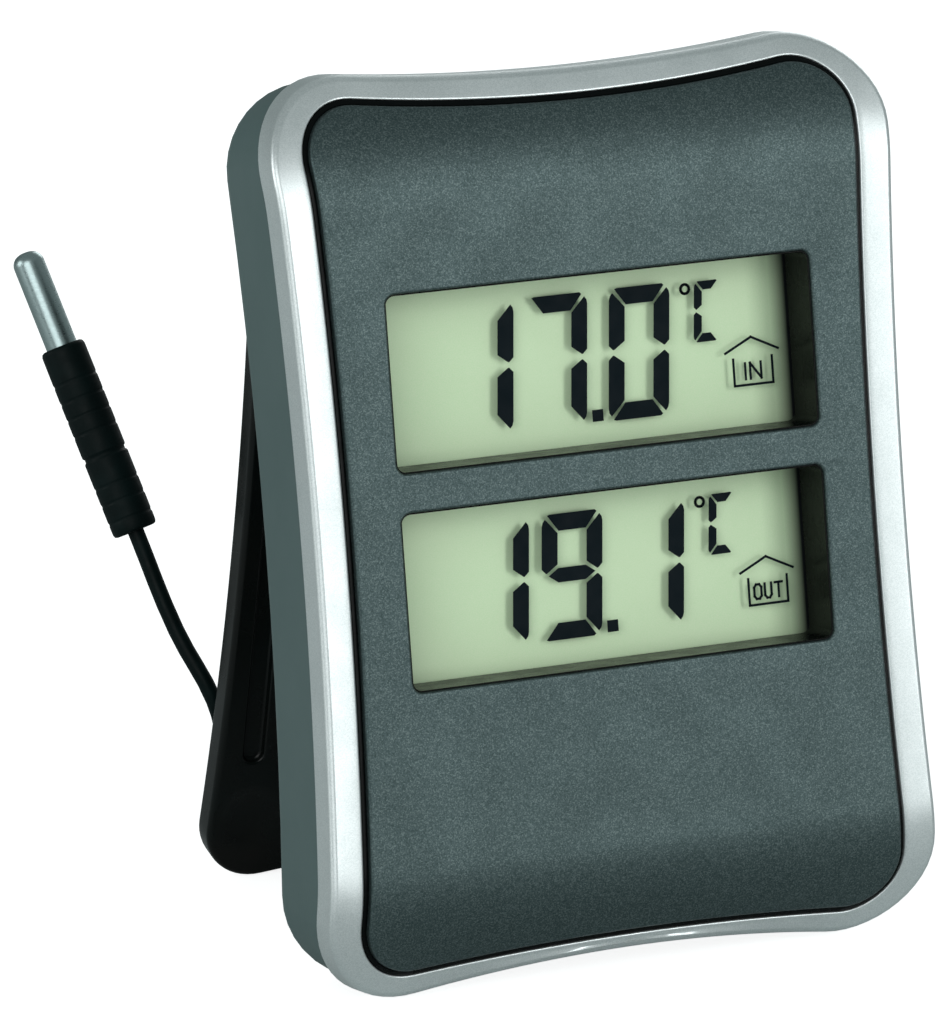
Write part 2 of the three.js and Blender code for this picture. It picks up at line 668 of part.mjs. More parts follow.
function cableCoil() {
  const { x, y, mean, width, height, base } = COIL;
  const [inner, outer] = [mean - width / 2, mean + width / 2];
  const section = [
    [inner, base],
    [outer, base],
    [outer, base + height],
    [inner, base + height],
    [inner, base],
  ].map(([radius, z]) => new THREE.Vector2(radius, z));
  return solid(new THREE.LatheGeometry(section, 32).rotateX(Math.PI / 2).translate(x, y, 0));
}

function coilTie() {
  const { x, y, mean, width, height, base } = COIL;
  const ring = (grow) => {
    const [reach, rise] = [width / 2 + GAP + grow, GAP + grow];
    const geometry = new THREE.BoxGeometry(2 * reach, TIE.width + (grow ? 0 : 2), height + 2 * rise);
    return solid(geometry.translate(mean, 0, base + height / 2).rotateZ(TIE.angle).translate(x, y, 0));
  };
  return ring(TIE.band).subtract(ring(0));
}

// A piece of the probe: a profile turned about the probe's axis, with its foot at the end of the cable.
function probePiece(profile, sides) {
  const points = profile.map(([radius, along]) => new THREE.Vector2(radius, along));
  const turn = new THREE.Quaternion().setFromUnitVectors(
    new THREE.Vector3(0, 1, 0),
    new THREE.Vector3(...PROBE_DIRECTION).normalize(),
  );
  const foot = new THREE.Vector3(...RUN_TO_PROBE.at(-1));
  const geometry = new THREE.LatheGeometry(points, sides).applyQuaternion(turn);
  return solid(geometry.translate(foot.x, foot.y, foot.z));
}

// Rubber sleeve: a plain grip with fine grooves and one deep one, from the cable's end to the tip's.
function probeSleeve() {
  const { sleeve, sleeveLength, tip } = PROBE;
  const profile = [
    [0, GAP],
    [sleeve - 0.4, GAP],
    [sleeve, GAP + 0.4],
  ];
  const grooves = [FINE_GROOVES, DEEP_GROOVE].flatMap(({ at, halfWidth, depth }) =>
    at.map((along) => [
      [sleeve, along - halfWidth],
      [sleeve - depth, along - halfWidth / 2],
      [sleeve - depth, along + halfWidth / 2],
      [sleeve, along + halfWidth],
    ]),
  );
  grooves.sort((a, b) => a[0][1] - b[0][1]).forEach((groove) => profile.push(...groove));
  profile.push(
    [sleeve, sleeveLength - 0.4],
    [sleeve - 0.4, sleeveLength],
    [tip + GAP, sleeveLength],
    [tip + GAP, sleeveLength - 4],
    [0, sleeveLength - 4],
  );
  return probePiece(profile, 16);
}

// Steel tip: a thin tube with a domed end, open inside the sleeve.
function probeTip() {
  const { sleeveLength, tip, tipLength, tipWall } = PROBE;
  const foot = sleeveLength - 4 + GAP;
  const shoulder = sleeveLength + tipLength - tip;
  const dome = (radius, angle) => [radius * Math.cos(angle), shoulder + radius * Math.sin(angle)];
  const angles = [0, 1, 2, 3].map((i) => (i * Math.PI) / 6);
  const outer = angles.map((angle) => dome(tip, angle));
  const inner = angles.map((angle) => dome(tip - tipWall, angle)).reverse();
  outer[3][0] = 0;
  inner[0][0] = 0;
  const profile = [[tip - tipWall, foot], [tip, foot], ...outer, ...inner, [tip - tipWall, foot]];
  return probePiece(profile, 16);
}

// Sensor bead inside the steel tip.
function probeBead() {
  const along = PROBE.sleeveLength + PROBE.tipLength - 4.2;
  const radius = 0.9;
  const profile = [-2, -1, 0, 1, 2].map((i) => [
    Math.abs(i) === 2 ? 0 : radius * Math.cos((i * Math.PI) / 4),
    along + 1.4 * Math.sin((i * Math.PI) / 4),
  ]);
  return probePiece(profile, 10);
}

// ---- assembly -------------------------------------------------------------------------------------------
const lean = new THREE.Group();
lean.rotation.x = Math.PI / 2 - LEAN;
lean.add(
  meshOf("front_bezel", frontBezel(), SATIN_SILVER),
  meshOf("front_panel", frontPanel(), ANTHRACITE),
  meshOf("display_carrier", displayCarrier(), BLACK),
  meshOf("display_glass", displayGlass(), LCD_GREEN),
  meshOf("contact_strip_upper", contactStrip(GLASS.top - 1.6), RUBBER),
  meshOf("contact_strip_lower", contactStrip(GLASS.bottom + 1.6), RUBBER),
  meshOf("main_board", mainBoard(), BOARD_GREEN),
  meshOf("controller_chip", controllerChip(), BLACK),
  meshOf("air_sensor", airSensor(), BLACK),
  meshOf("max_min_click_switch", clickSwitch(BUTTONS[0]), BLACK),
  meshOf("reset_click_switch", clickSwitch(BUTTONS[1]), BLACK),
  meshOf("unit_switch_body", unitSwitchBody(), STEEL),
  meshOf("aaa_cell", cell(), CELL_JACKET),
  meshOf("positive_contact", positiveContact(), STEEL),
  meshOf("negative_spring", negativeContact(), STEEL),
  meshOf("rear_shell", rearShell(), SHELL_GREY),
  meshOf("battery_door", batteryDoor(), SHELL_GREY),
  meshOf("unit_slider", unitSlider(), PALE),
  meshOf("cable_grommet", cableGrommet(), RUBBER),
  meshOf("sensor_cable_inner_lead", innerLead(), RUBBER),
  meshOf("battery_wire_positive", batteryWire(1), BLACK),
  meshOf("battery_wire_negative", batteryWire(-1), RUBBER),
);
BUTTONS.forEach((button) => lean.add(meshOf(button.name, pushButton(button), PALE)));
CASE_SCREWS.forEach((place, i) => lean.add(meshOf(`case_screw_${i + 1}`, caseScrew(place), STEEL)));
BOARD_SCREWS.forEach((place, i) => lean.add(meshOf(`board_screw_${i + 1}`, boardScrew(place), STEEL)));

const stand = meshOf("stand_leg", standLeg(), BLACK);
stand.position.set(0, HINGE.y, HINGE.z);
stand.rotation.x = STAND_OPEN;
lean.add(stand);

// The origin is the middle of the base of the case and its stand.
const root = new THREE.Group();
root.name = "maximum_minimum_thermometer";
root.add(lean);
root.updateMatrixWorld(true);
const bounds = new THREE.Box3().setFromObject(root, true);
lean.position.set(-(bounds.min.x + bounds.max.x) / 2, -(bounds.min.y + bounds.max.y) / 2, -bounds.min.z);
root.updateMatrixWorld(true);

// The free cable starts just past the tip of its bush.
const exit = new THREE.Vector3(CABLE_EXIT.x, CABLE_EXIT.y, CASE_REAR - CABLE_EXIT.reach - GAP);
lean.localToWorld(exit);
root.add(
  meshOf("sensor_cable_case_run", cableRun([exit.toArray(), ...RUN_TO_COIL]), RUBBER),
  meshOf("sensor_cable_coil", cableCoil(), RUBBER),
  meshOf("coil_tie", coilTie(), PALE),
  meshOf("sensor_cable_probe_run", cableRun(RUN_TO_PROBE), RUBBER),
  meshOf("probe_sleeve", probeSleeve(), RUBBER),
  meshOf("probe_tip", probeTip(), STEEL),
  meshOf("probe_sensor_bead", probeBead(), BLACK),
);

export default root;
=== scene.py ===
"""Looks of the maximum minimum thermometer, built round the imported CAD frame.

Pieces of the case are drawn in millimetres in its face frame (x right, y up, z out of the face), and
placed by FACE, which leans it back on its stand. The cable's curve is in metres."""

import json
import math

import bmesh
import bpy
import numpy as np
from mathutils import Matrix, Vector
from mathutils.geometry import tessellate_polygon


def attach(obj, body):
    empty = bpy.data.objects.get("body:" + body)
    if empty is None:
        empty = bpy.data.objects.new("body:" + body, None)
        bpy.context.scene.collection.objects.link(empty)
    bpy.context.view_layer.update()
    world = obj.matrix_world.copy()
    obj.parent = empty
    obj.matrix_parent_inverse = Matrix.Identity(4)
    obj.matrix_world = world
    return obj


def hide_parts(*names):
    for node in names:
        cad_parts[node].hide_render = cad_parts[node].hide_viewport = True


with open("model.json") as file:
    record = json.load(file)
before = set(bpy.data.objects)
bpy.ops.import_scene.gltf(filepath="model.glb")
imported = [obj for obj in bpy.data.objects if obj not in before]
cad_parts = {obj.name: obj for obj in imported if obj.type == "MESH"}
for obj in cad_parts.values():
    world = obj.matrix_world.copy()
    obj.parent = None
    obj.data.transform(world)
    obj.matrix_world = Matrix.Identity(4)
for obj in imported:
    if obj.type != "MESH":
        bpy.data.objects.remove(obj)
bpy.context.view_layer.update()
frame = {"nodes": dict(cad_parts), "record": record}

MM = 0.001
RECORD = frame["record"]

# -- the case's face frame
REAR = -20.0  # z of the flat rear face
REAR_FACE_AT = (0.0, 5.0, REAR)  # where the record's mount lies on it

mount = next(m for m in RECORD["mounts"] if m["name"] == "rear_face")
LEAN = math.asin(-mount["axis"][2])
FACE = Matrix.Rotation(math.pi / 2 - LEAN, 4, "X")
FACE.translation = Vector(mount["pos_m"]) - FACE.to_3x3() @ (Vector(REAR_FACE_AT) * MM)
JOINTS = {joint["name"]: joint for joint in RECORD["behaviour"]["joints"]}


def linked(name, data):
    """A new object in the scene."""
    made = bpy.data.objects.new(name, data)
    bpy.context.collection.objects.link(made)
    return made


def on_face(x, y, z):
    """A point of the face frame, in millimetres, as a point of the part's frame in metres."""
    return FACE @ (Vector((x, y, z)) * MM)


# -- shape of the case, in millimetres
CASE = dict(half_width=36.4, half_height=50.25, side_dip=1.25, top_dip=1.4, bottom_dip=2.05, corner=10)
LIP = dict(half_width=32.6, half_height=47.7, side_dip=1.2, top_dip=1.7, bottom_dip=1.2, corner=6.4)
STAND = dict(half_width=31.8, half_height=44.175, side_dip=1.1, top_dip=0.4, bottom_dip=1.2, corner=6.4)
STAND_CENTRE_Y = -5.175
PANEL_GAP = 0.64
PANEL_PROUD = 0.6
PANEL_BACK = -2.1
BEZEL_DEPTH = 4.1
ROLL_START = 35.5
ROLL_RATE = 0.0295
WINDOW_HALF_WIDTH = 25.2
WINDOW_LINING = 0.18
UPPER_WINDOW = (7.3, 26.7)
LOWER_WINDOW = (-16.4, 3.1)
HINGE = (36.0, -18.1)  # y and z of the stand's hinge
SIDE_STEPS = 72
END_STEPS = 24
CORNER_STEPS = 14
EDGE_STEPS = 4  # of a rounded edge


def arc(x, y, radius, start, end, steps):
    """Points along an arc, without the last one."""
    angles = start + (end - start) * np.arange(steps) / steps
    return np.column_stack((x + radius * np.cos(angles), y + radius * np.sin(angles)))


def hollow_side(centre, corner, dip):
    """Radius and half angle of a hollow side that touches the round corners beside it."""
    radius = (centre**2 + (corner - dip) ** 2 - corner**2) / (2 * dip)
    return radius, math.asin(centre / (radius + corner))


def pincushion(shape, inset=0.0, centre_y=0.0):
    """Outline with four hollow sides and round corners, anticlockwise, moved in by inset."""
    corner = shape["corner"]
    cx, cy = shape["half_width"] - corner, shape["half_height"] - corner
    side_r, side_a = hollow_side(cy, corner, shape["side_dip"])
    top_r, top_a = hollow_side(cx, corner, shape["top_dip"])
    low_r, low_a = hollow_side(cx, corner, shape["bottom_dip"])
    side_x = shape["half_width"] - shape["side_dip"] + side_r
    top_y = centre_y + shape["half_height"] - shape["top_dip"] + top_r
    low_y = centre_y - shape["half_height"] + shape["bottom_dip"] - low_r
    q = math.pi / 2
    r = corner - inset
    s, t, b = side_r + inset, top_r + inset, low_r + inset
    return np.vstack(
        (
            arc(side_x, centre_y, s, 2 * q + side_a, 2 * q - side_a, SIDE_STEPS),
            arc(cx, centre_y + cy, r, -side_a, q + top_a, CORNER_STEPS),
            arc(0, top_y, t, -q + top_a, -q - top_a, END_STEPS),
            arc(-cx, centre_y + cy, r, q - top_a, 2 * q + side_a, CORNER_STEPS),
            arc(-side_x, centre_y, s, side_a, -side_a, SIDE_STEPS),
            arc(-cx, centre_y - cy, r, 2 * q - side_a, 3 * q + low_a, CORNER_STEPS),
            arc(0, low_y, b, q + low_a, q - low_a, END_STEPS),
            arc(cx, centre_y - cy, r, 3 * q - low_a, 4 * q + side_a, CORNER_STEPS),
        )
    )


def rectangle(x0, x1, y0, y1, corner, grow=0.0, steps=6):
    """Rounded rectangle, anticlockwise, grown all round."""
    x0, x1, y0, y1, r = x0 - grow, x1 + grow, y0 - grow, y1 + grow, max(corner + grow, 0.02)
    q = math.pi / 2
    centres = ((x1 - r, y1 - r), (x0 + r, y1 - r), (x0 + r, y0 + r), (x1 - r, y0 + r))
    return np.vstack([arc(x, y, r, q * i, q * (i + 1), steps) for i, (x, y) in enumerate(centres)])


def circle(x, y, radius, steps=40):
    return arc(x, y, radius, 0, 2 * math.pi, steps)


def roll(y):
    """How far the face rolls back at a height y on it."""
    return -ROLL_RATE * np.maximum(0, np.abs(y) - ROLL_START) ** 2


# -- mesh building
class Body:
    """Collects closed rings of points into one mesh."""

    def __init__(self):
        self.points = []
        self.faces = []

    def ring(self, outline, z):
        """Adds an outline at height z, which is a number or an array, and returns its indices."""
        first = len(self.points)
        heights = np.broadcast_to(z, len(outline))
        self.points += [(float(x), float(y), float(h)) for (x, y), h in zip(outline, heights)]
        return list(range(first, len(self.points)))

    def face_ring(self, outline, z):
        """The same, rolled back with the face."""
        return self.ring(outline, z + roll(outline[:, 1]))

    def strip(self, rings):
        """Joins rings of equal size by quads, each to the next."""
        for a, b in zip(rings, rings[1:]):
            n = len(a)
            self.faces += [(a[i], a[(i + 1) % n], b[(i + 1) % n], b[i]) for i in range(n)]

    def cap(self, *rings):
        """Fills the space inside the first ring and outside the others."""
        loops = [[Vector(self.points[i]) for i in ring] for ring in rings]
        index = [i for ring in rings for i in ring]
        self.faces += [tuple(index[i] for i in face) for face in tessellate_polygon(loops)]

    def mesh(self, name):
        """The mesh, with its doubled points merged and its normals outwards."""
        mesh = bpy.data.meshes.new(name)
        mesh.from_pydata(self.points, [], self.faces)
        mesh.validate()
        bm = bmesh.new()
        bm.from_mesh(mesh)
        bmesh.ops.remove_doubles(bm, verts=bm.verts, dist=1e-5)
        bmesh.ops.recalc_face_normals(bm, faces=bm.faces)
        bm.to_mesh(mesh)
        bm.free()
        return mesh


QUARTER = [math.pi / 2 * i / EDGE_STEPS for i in range(EDGE_STEPS + 1)]


def rounded(z0, z1, low_radius, high_radius):
    """Profile of a wall from its lower face to its upper face as (inset, z), with both edges rounded."""
    low = [(low_radius * (1 - math.sin(a)), z0 + low_radius * (1 - math.cos(a))) for a in QUARTER]
    high = [(high_radius * (1 - math.cos(a)), z1 - high_radius * (1 - math.sin(a))) for a in QUARTER]
    return low + high


DISH_RADIUS = 3.9
DISH_DEPTH = 0.7
DISH = [(-DISH_RADIUS + DISH_RADIUS * i / 10, -DISH_DEPTH + DISH_DEPTH * (i / 10) ** 2) for i in range(1, 10)]
DISH += [(0.1, -0.05), (0.35, -0.008), (0.5, 0.0)]


def plate(outline, holes, z0, z1, low_radius, high_radius, pockets=(), dishes=()):
    """A plate between two heights. outline and holes are functions of how far the edge is moved into the
    material. A pocket is (outline function, depth, mouth radius, floor radius) and a dish is an outline
    function. Both are sunk in the upper face."""
    body = Body()
    profile = rounded(z0, z1, low_radius, high_radius)
    low, high = [], []
    for edge in (outline, *holes):
        rings = [body.ring(edge(inset), z) for inset, z in profile]
        body.strip(rings)
        low.append(rings[0])
        high.append(rings[-1])
    sunk = []
    for edge, depth, mouth, floor in pockets:
        foot = [(-floor * (1 - math.sin(a)), z1 - depth + floor * (1 - math.cos(a))) for a in QUARTER]
        sunk.append((edge, foot + rounded(z1 - depth, z1, 0, mouth)[len(QUARTER) :]))
    sunk += [(edge, [(inset, z1 + sink) for inset, sink in DISH]) for edge in dishes]
    for edge, profile in sunk:
        rings = [body.ring(edge(inset), z) for inset, z in profile]
        body.strip(rings)
        body.cap(rings[0])
        high.append(rings[-1])
    body.cap(*low)
    body.cap(*high)
    return body


AXIS_RADIUS = 1e-4  # of a ring that stands for a point on the axis


def turned(profile, steps=48):
    """A body turned about z from (radius, z) pairs. A profile that ends where it starts makes a ring, and
    any other one is closed by caps."""
    body = Body()
    rings = [body.ring(circle(0, 0, max(radius, AXIS_RADIUS), steps), z) for radius, z in profile]
    body.strip(rings)
    if profile[0] != profile[-1]:
        body.cap(rings[0])
        body.cap(rings[-1])
    return body


def place(name, shape, matrix, body, material, slot, replaces=(), sharp=35, weighted=True):
    """Makes a piece from a Body or a mesh in millimetres: placed, smoothed up to an angle, riding on its
    CAD body."""
    mesh = shape.mesh(name) if isinstance(shape, Body) else shape
    mesh.transform(matrix @ Matrix.Scale(MM, 4))
    mesh.shade_smooth()
    mesh.set_sharp_from_angle(angle=math.radians(sharp))
    piece = linked(name, mesh)
    mesh.materials.append(material)
    if weighted:
        normals = piece.modifiers.new("normals", "WEIGHTED_NORMAL")
        normals.keep_sharp = True
    return settle(piece, body, replaces)


def settle(piece, body, replaces=()):
    """Says which body a piece rides on and the CAD nodes that it stands for."""
    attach(piece, body)
    if replaces:
        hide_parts(*replaces)
    return piece


FLAT_DOT = 0.99999  # least dot product of the normals inside one flat region
FLAT_AREA = 2e-5  # in square metres, from which a flat region keeps its own normal right up to its edge


def flat_regions(bm):
    """For each triangle, the area of the flat region that it is a part of."""
    region = [None] * len(bm.faces)
    areas = []
    for first in bm.faces:
        if region[first.index] is not None:
            continue
        region[first.index] = len(areas)
        areas.append(0.0)
        queue = [first]
        while queue:
            face = queue.pop()
            areas[-1] += face.calc_area()
            for edge in face.edges:
                for other in edge.link_faces:
                    if region[other.index] is None and face.normal.dot(other.normal) > FLAT_DOT:
                        region[other.index] = region[first.index]
                        queue.append(other)
    return [areas[number] for number in region]


def shade_by_region(mesh, angle):
    """Gives each corner of a triangulated mesh the normal of the largest flat region that meets it smoothly,
    or a weighted mean where all of them are small."""
    bm = bmesh.new()
    bm.from_mesh(mesh)
    areas = flat_regions(bm)
    corners = []
    for face in bm.faces:
        for vertex in face.verts:
            near = [other for other in vertex.link_faces if face.normal.dot(other.normal) > math.cos(angle)]
            largest = max(near, key=lambda other: areas[other.index])
            total = Vector()
            for other in near:
                total += other.normal * other.calc_area() * areas[other.index]
            flat = areas[largest.index] > FLAT_AREA
            corners.append(largest.normal.copy() if flat else total.normalized())
    bm.free()
    mesh.normals_split_custom_set(corners)


def refined(name, node, body, material, width=0.0, angle=32):
    """A copy of a CAD node, smooth where it is round. With a width, its flat faces are made whole and its
    edges are rounded."""
    mesh = frame["nodes"][node].data.copy()
    bm = bmesh.new()
    bm.from_mesh(mesh)
    bmesh.ops.remove_doubles(bm, verts=bm.verts, dist=2e-6)
    if width:
        bmesh.ops.dissolve_limit(bm, angle_limit=math.radians(0.6), verts=bm.verts, edges=bm.edges)
    bm.to_mesh(mesh)
    bm.free()
    mesh.shade_smooth()
    mesh.set_sharp_from_angle(angle=math.radians(angle))
    mesh.materials.clear()
    mesh.materials.append(material)
    piece = linked(name, mesh)
    if width:
        bevel = piece.modifiers.new("edges", "BEVEL")
        bevel.width = width * MM
        bevel.segments = 3
        bevel.limit_method = "ANGLE"
        bevel.angle_limit = math.radians(angle)
        bevel.miter_outer = "MITER_ARC"
        bevel.harden_normals = True
        normals = piece.modifiers.new("normals", "WEIGHTED_NORMAL")
        normals.keep_sharp = True
    else:
        shade_by_region(mesh, math.radians(angle))
    return settle(piece, body, [node])


# -- materials
class Paint:
    """A Principled material with helpers for procedural detail. Scales are in cells per metre. Colour and
    roughness are the plain values, which most of the materials then vary from place to place."""

    def __init__(self, name, colour, roughness, metallic=0.0, **sockets):
        self.material = bpy.data.materials.new(name)
        self.material.use_nodes = True
        self.nodes = self.material.node_tree.nodes
        self.links = self.material.node_tree.links
        self.shader = self.nodes["Principled BSDF"]
        self.where = self.nodes.new("ShaderNodeTexCoord").outputs["Object"]
        self.put("Base Color", (*colour, 1))
        self.put("Roughness", roughness)
        self.put("Metallic", metallic)
        for socket, value in sockets.items():
            self.put(socket.replace("_", " "), value)
        self.height = None

    def put(self, socket, value):
        if isinstance(value, bpy.types.NodeSocket):
            self.links.new(value, self.shader.inputs[socket])
        else:
            self.shader.inputs[socket].default_value = value

    def noise(self, scale, detail=3.0, stretch=None):
        node = self.nodes.new("ShaderNodeTexNoise")
        node.inputs["Scale"].default_value = scale
        node.inputs["Detail"].default_value = detail
        where = self.where
        if stretch:
            mapping = self.nodes.new("ShaderNodeMapping")
            mapping.inputs["Scale"].default_value = stretch
            self.links.new(where, mapping.inputs["Vector"])
            where = mapping.outputs["Vector"]
        self.links.new(where, node.inputs["Vector"])
        return node.outputs["Fac"]

    def cells(self, scale):
        """A random number for each cell of a grid of random cells."""
        node = self.nodes.new("ShaderNodeTexVoronoi")
        node.inputs["Scale"].default_value = scale
        self.links.new(self.where, node.inputs["Vector"])
        split = self.nodes.new("ShaderNodeSeparateColor")
        self.links.new(node.outputs["Color"], split.inputs["Color"])
        return split.outputs[0]

    def spread(self, value, low, high, to_low, to_high):
        node = self.nodes.new("ShaderNodeMapRange")
        self.links.new(value, node.inputs["Value"])
        for socket, number in zip(("From Min", "From Max", "To Min", "To Max"), (low, high, to_low, to_high)):
            node.inputs[socket].default_value = number
        return node.outputs["Result"]

    def along(self, axis):
        """One coordinate of the place on the piece, in metres."""
        node = self.nodes.new("ShaderNodeSeparateXYZ")
        self.links.new(self.where, node.inputs["Vector"])
        return node.outputs[axis]

    def mix(self, share, colour_a, colour_b):
        node = self.nodes.new("ShaderNodeMix")
        node.data_type = "RGBA"
        self.links.new(share, node.inputs["Factor"])
        for socket, colour in ((6, colour_a), (7, colour_b)):
            if isinstance(colour, bpy.types.NodeSocket):
                self.links.new(colour, node.inputs[socket])
            else:
                node.inputs[socket].default_value = (*colour, 1)
        return node.outputs[2]

    def vary_roughness(self, scale, detail, low, high, middle=(0.3, 0.7)):
        """Roughness that follows a noise, whose middle range is spread from low to high."""
        self.put("Roughness", self.spread(self.noise(scale, detail), *middle, low, high))

    def bump(self, height, distance, strength):
        node = self.nodes.new("ShaderNodeBump")
        node.inputs["Strength"].default_value = strength
        node.inputs["Distance"].default_value = distance
        self.links.new(height, node.inputs["Height"])
        if self.height is not None:
            self.links.new(self.height, node.inputs["Normal"])
        self.height = node.outputs["Normal"]
        self.put("Normal", self.height)


def satin_silver():
    """Fine metallic lacquer: small flakes, slight orange peel, faint handling marks."""
    paint = Paint("satin_silver", (0.70, 0.73, 0.73), 0.4, 0.85)
    flakes = paint.cells(11000)
    paint.put("Base Color", paint.mix(flakes, (0.64, 0.70, 0.70), (0.80, 0.85, 0.85)))
    paint.vary_roughness(220, 4, 0.38, 0.45)
    paint.bump(paint.noise(2600, 2), 0.00001, 0.3)
    return paint.material


def anthracite():
    """Dark lacquer with a metallic sparkle."""
    paint = Paint("anthracite", (0.075, 0.095, 0.1), 0.46, 0.75)
    sparkle = paint.spread(paint.cells(8200), 0.60, 1.0, 0.0, 1.0)
    grain = paint.spread(paint.noise(5600, 4), 0.36, 0.66, 0.0, 1.0)
    base = paint.mix(grain, (0.033, 0.057, 0.058), (0.072, 0.104, 0.105))
    paint.put("Base Color", paint.mix(sparkle, base, (0.116, 0.156, 0.156)))
    paint.vary_roughness(160, 4, 0.43, 0.50)
    paint.bump(paint.noise(7000, 2), 0.00002, 0.4)
    return paint.material


def shell_plastic():
    """Dark grey moulding with a fine spark-eroded grain, slightly polished by hands."""
    paint = Paint("shell_plastic", (0.058, 0.083, 0.084), 0.48)
    paint.put("Base Color", paint.mix(paint.noise(90, 5), (0.058, 0.102, 0.100), (0.072, 0.119, 0.117)))
    paint.vary_roughness(60, 5, 0.40, 0.52)
    paint.bump(paint.noise(5200, 3), 0.00003, 0.4)
    return paint.material


def black_gloss():
    """Black moulding with a smooth satin gloss and faint rub marks."""
    paint = Paint("stand_black", (0.004, 0.006, 0.006), 0.22, Specular_IOR_Level=0.2)
    paint.put("Base Color", paint.mix(paint.noise(70, 4), (0.001, 0.005, 0.005), (0.006, 0.004, 0.003)))
    paint.vary_roughness(140, 6, 0.22, 0.34, (0.35, 0.7))
    paint.bump(paint.noise(900, 2), 0.00001, 0.15)
    return paint.material


def carrier_black():
    """Glossy black moulding."""
    paint = Paint("carrier_black", (0.002, 0.003, 0.003), 0.26, Specular_IOR_Level=0.07)
    paint.vary_roughness(400, 4, 0.22, 0.32)
    paint.bump(paint.noise(900, 2), 0.000005, 0.1)
    return paint.material


PAINTED_SHADE_X = (23.3, 25.3)  # x in millimetres between which painted shade darkens the reflector to black


def reflector():
    """Pale green reflective film behind the liquid crystal, with its fine grain, and painted shade that fades
    it to black at its right end, where the window's wall shades it.
    """
    paint = Paint("display_reflector", (0.62, 0.72, 0.52), 0.5, Specular_IOR_Level=0.3)
    mottle = paint.mix(paint.noise(75, 3), (0.62, 0.87, 0.53), (0.69, 0.86, 0.57))
    grain = paint.spread(paint.noise(9000, 2), 0.35, 0.65, 0.0, 1.0)
    film = paint.mix(grain, mottle, (0.71, 0.89, 0.60))
    # painted shade: the film fades to black towards the right wall of the window
    painted_shade = paint.spread(paint.along("X"), PAINTED_SHADE_X[0] * MM, PAINTED_SHADE_X[1] * MM, 0.0, 1.0)
    paint.put("Base Color", paint.mix(painted_shade, film, (0.003, 0.005, 0.006)))
    paint.vary_roughness(300, 3, 0.45, 0.6)
    return paint.material


def segment_black():
    """Matte black of the liquid crystal."""
    paint = Paint("segment_black", (0.002, 0.007, 0.010), 0.6, Specular_IOR_Level=0.1)
    paint.vary_roughness(500, 2, 0.55, 0.7)
    return paint.material


def steel(name, colour, roughness, stretch=None):
    """Polished steel with fine turning marks."""
    paint = Paint(name, colour, roughness, 1.0)
    marks = paint.noise(1500, 4, stretch)
    paint.put("Roughness", paint.spread(marks, 0.3, 0.7, roughness * 0.85, roughness * 1.2))
    paint.put("Base Color", paint.mix(paint.noise(180, 4), colour, tuple(c * 0.9 for c in colour)))
    paint.bump(marks, 0.000002, 0.1)
    return paint.material


def rubber(name, colour, roughness, grain):
    """Matte black rubber with a fine grain and a little dust."""
    paint = Paint(name, colour, roughness, Specular_IOR_Level=0.08)
    dusty = tuple(c * 1.7 for c in colour)
    paint.put("Base Color", paint.mix(paint.spread(paint.noise(300, 6), 0.45, 0.8, 0, 1), colour, dusty))
    paint.vary_roughness(700, 4, roughness - 0.08, roughness + 0.1)
    paint.bump(paint.noise(grain, 3), 0.00002, 0.4)
    return paint.material


def plastic(name, colour, roughness=0.45, grain=4200):
    """Plain moulding with a fine grain."""
    paint = Paint(name, colour, roughness)
    darker = tuple(c * 0.9 for c in colour)
    paint.put("Base Color", paint.mix(paint.noise(260, 4), colour, darker))
    paint.vary_roughness(180, 4, roughness - 0.05, roughness + 0.07)
    paint.bump(paint.noise(grain, 2), 0.00002, 0.3)
    return paint.material


def solder_mask():
    """Green board lacquer, darker where the copper ends."""
    paint = Paint("solder_mask", (0.02, 0.12, 0.05), 0.35)
    patches = paint.spread(paint.cells(700), 0.4, 0.6, 0, 1)
    paint.put("Base Color", paint.mix(patches, (0.015, 0.1, 0.04), (0.03, 0.16, 0.07)))
    return paint.material


SILVER = satin_silver()
ANTHRACITE = anthracite()
SHELL = shell_plastic()
STAND_BLACK = black_gloss()
CARRIER = carrier_black()
REFLECTOR = reflector()
SEGMENT = segment_black()
TIP_STEEL = steel("tip_steel", (0.37, 0.46, 0.46), 0.3, (1, 1, 5))
PLATED = steel("plated_steel", (0.60, 0.60, 0.58), 0.3)
RUBBER_COLOUR = (0.002, 0.006, 0.006)
SLEEVE_RUBBER = rubber("sleeve_rubber", RUBBER_COLOUR, 0.5, 3800)
CABLE_JACKET = rubber("cable_jacket", RUBBER_COLOUR, 0.42, 2600)
BUTTON_GREY = plastic("button_grey", (0.36, 0.37, 0.36))
TIE_WHITE = plastic("tie_white", (0.72, 0.72, 0.70), 0.5)
EPOXY = plastic("epoxy_black", (0.012, 0.012, 0.013), 0.3, 1500)
WIRE_RED = plastic("wire_red", (0.45, 0.02, 0.015), 0.4)
CELL_JACKET = plastic("cell_jacket", (0.40, 0.42, 0.45), 0.35)
BOARD_GREEN = solder_mask()


# -- camera
CAMERA_PLACE = (-0.3193, -0.71628, 0.27839)
CAMERA_FORWARD = (0.3815, 0.8799, -0.2834)
CAMERA_LENS = 258.9  # mm, on a sensor 36 mm along the frame's longer side


def add_camera():
    """The photograph's view."""
    data = bpy.data.cameras.new("camera")
    data.lens = CAMERA_LENS
    data.sensor_width = 36.0
    camera = linked("camera", data)
    camera.location = CAMERA_PLACE
    forward = Vector(CAMERA_FORWARD).normalized()
    camera.rotation_mode = "QUATERNION"
    camera.rotation_quaternion = forward.to_track_quat("-Z", "Y")
    bpy.context.scene.camera = camera


add_camera()


# -- sensor cable
PITCH = 1.9  # of the coil's turns, which lie side by side
CABLE_DIAMETER = PITCH * MM
CABLE_NODES = ("sensor_cable_case_run", "sensor_cable_coil", "sensor_cable_probe_run")
GROMMET_AT = (15, -13)  # x and y on the rear face
EXIT = on_face(*GROMMET_AT, -27.3)  # just inside the end of the grommet's tail
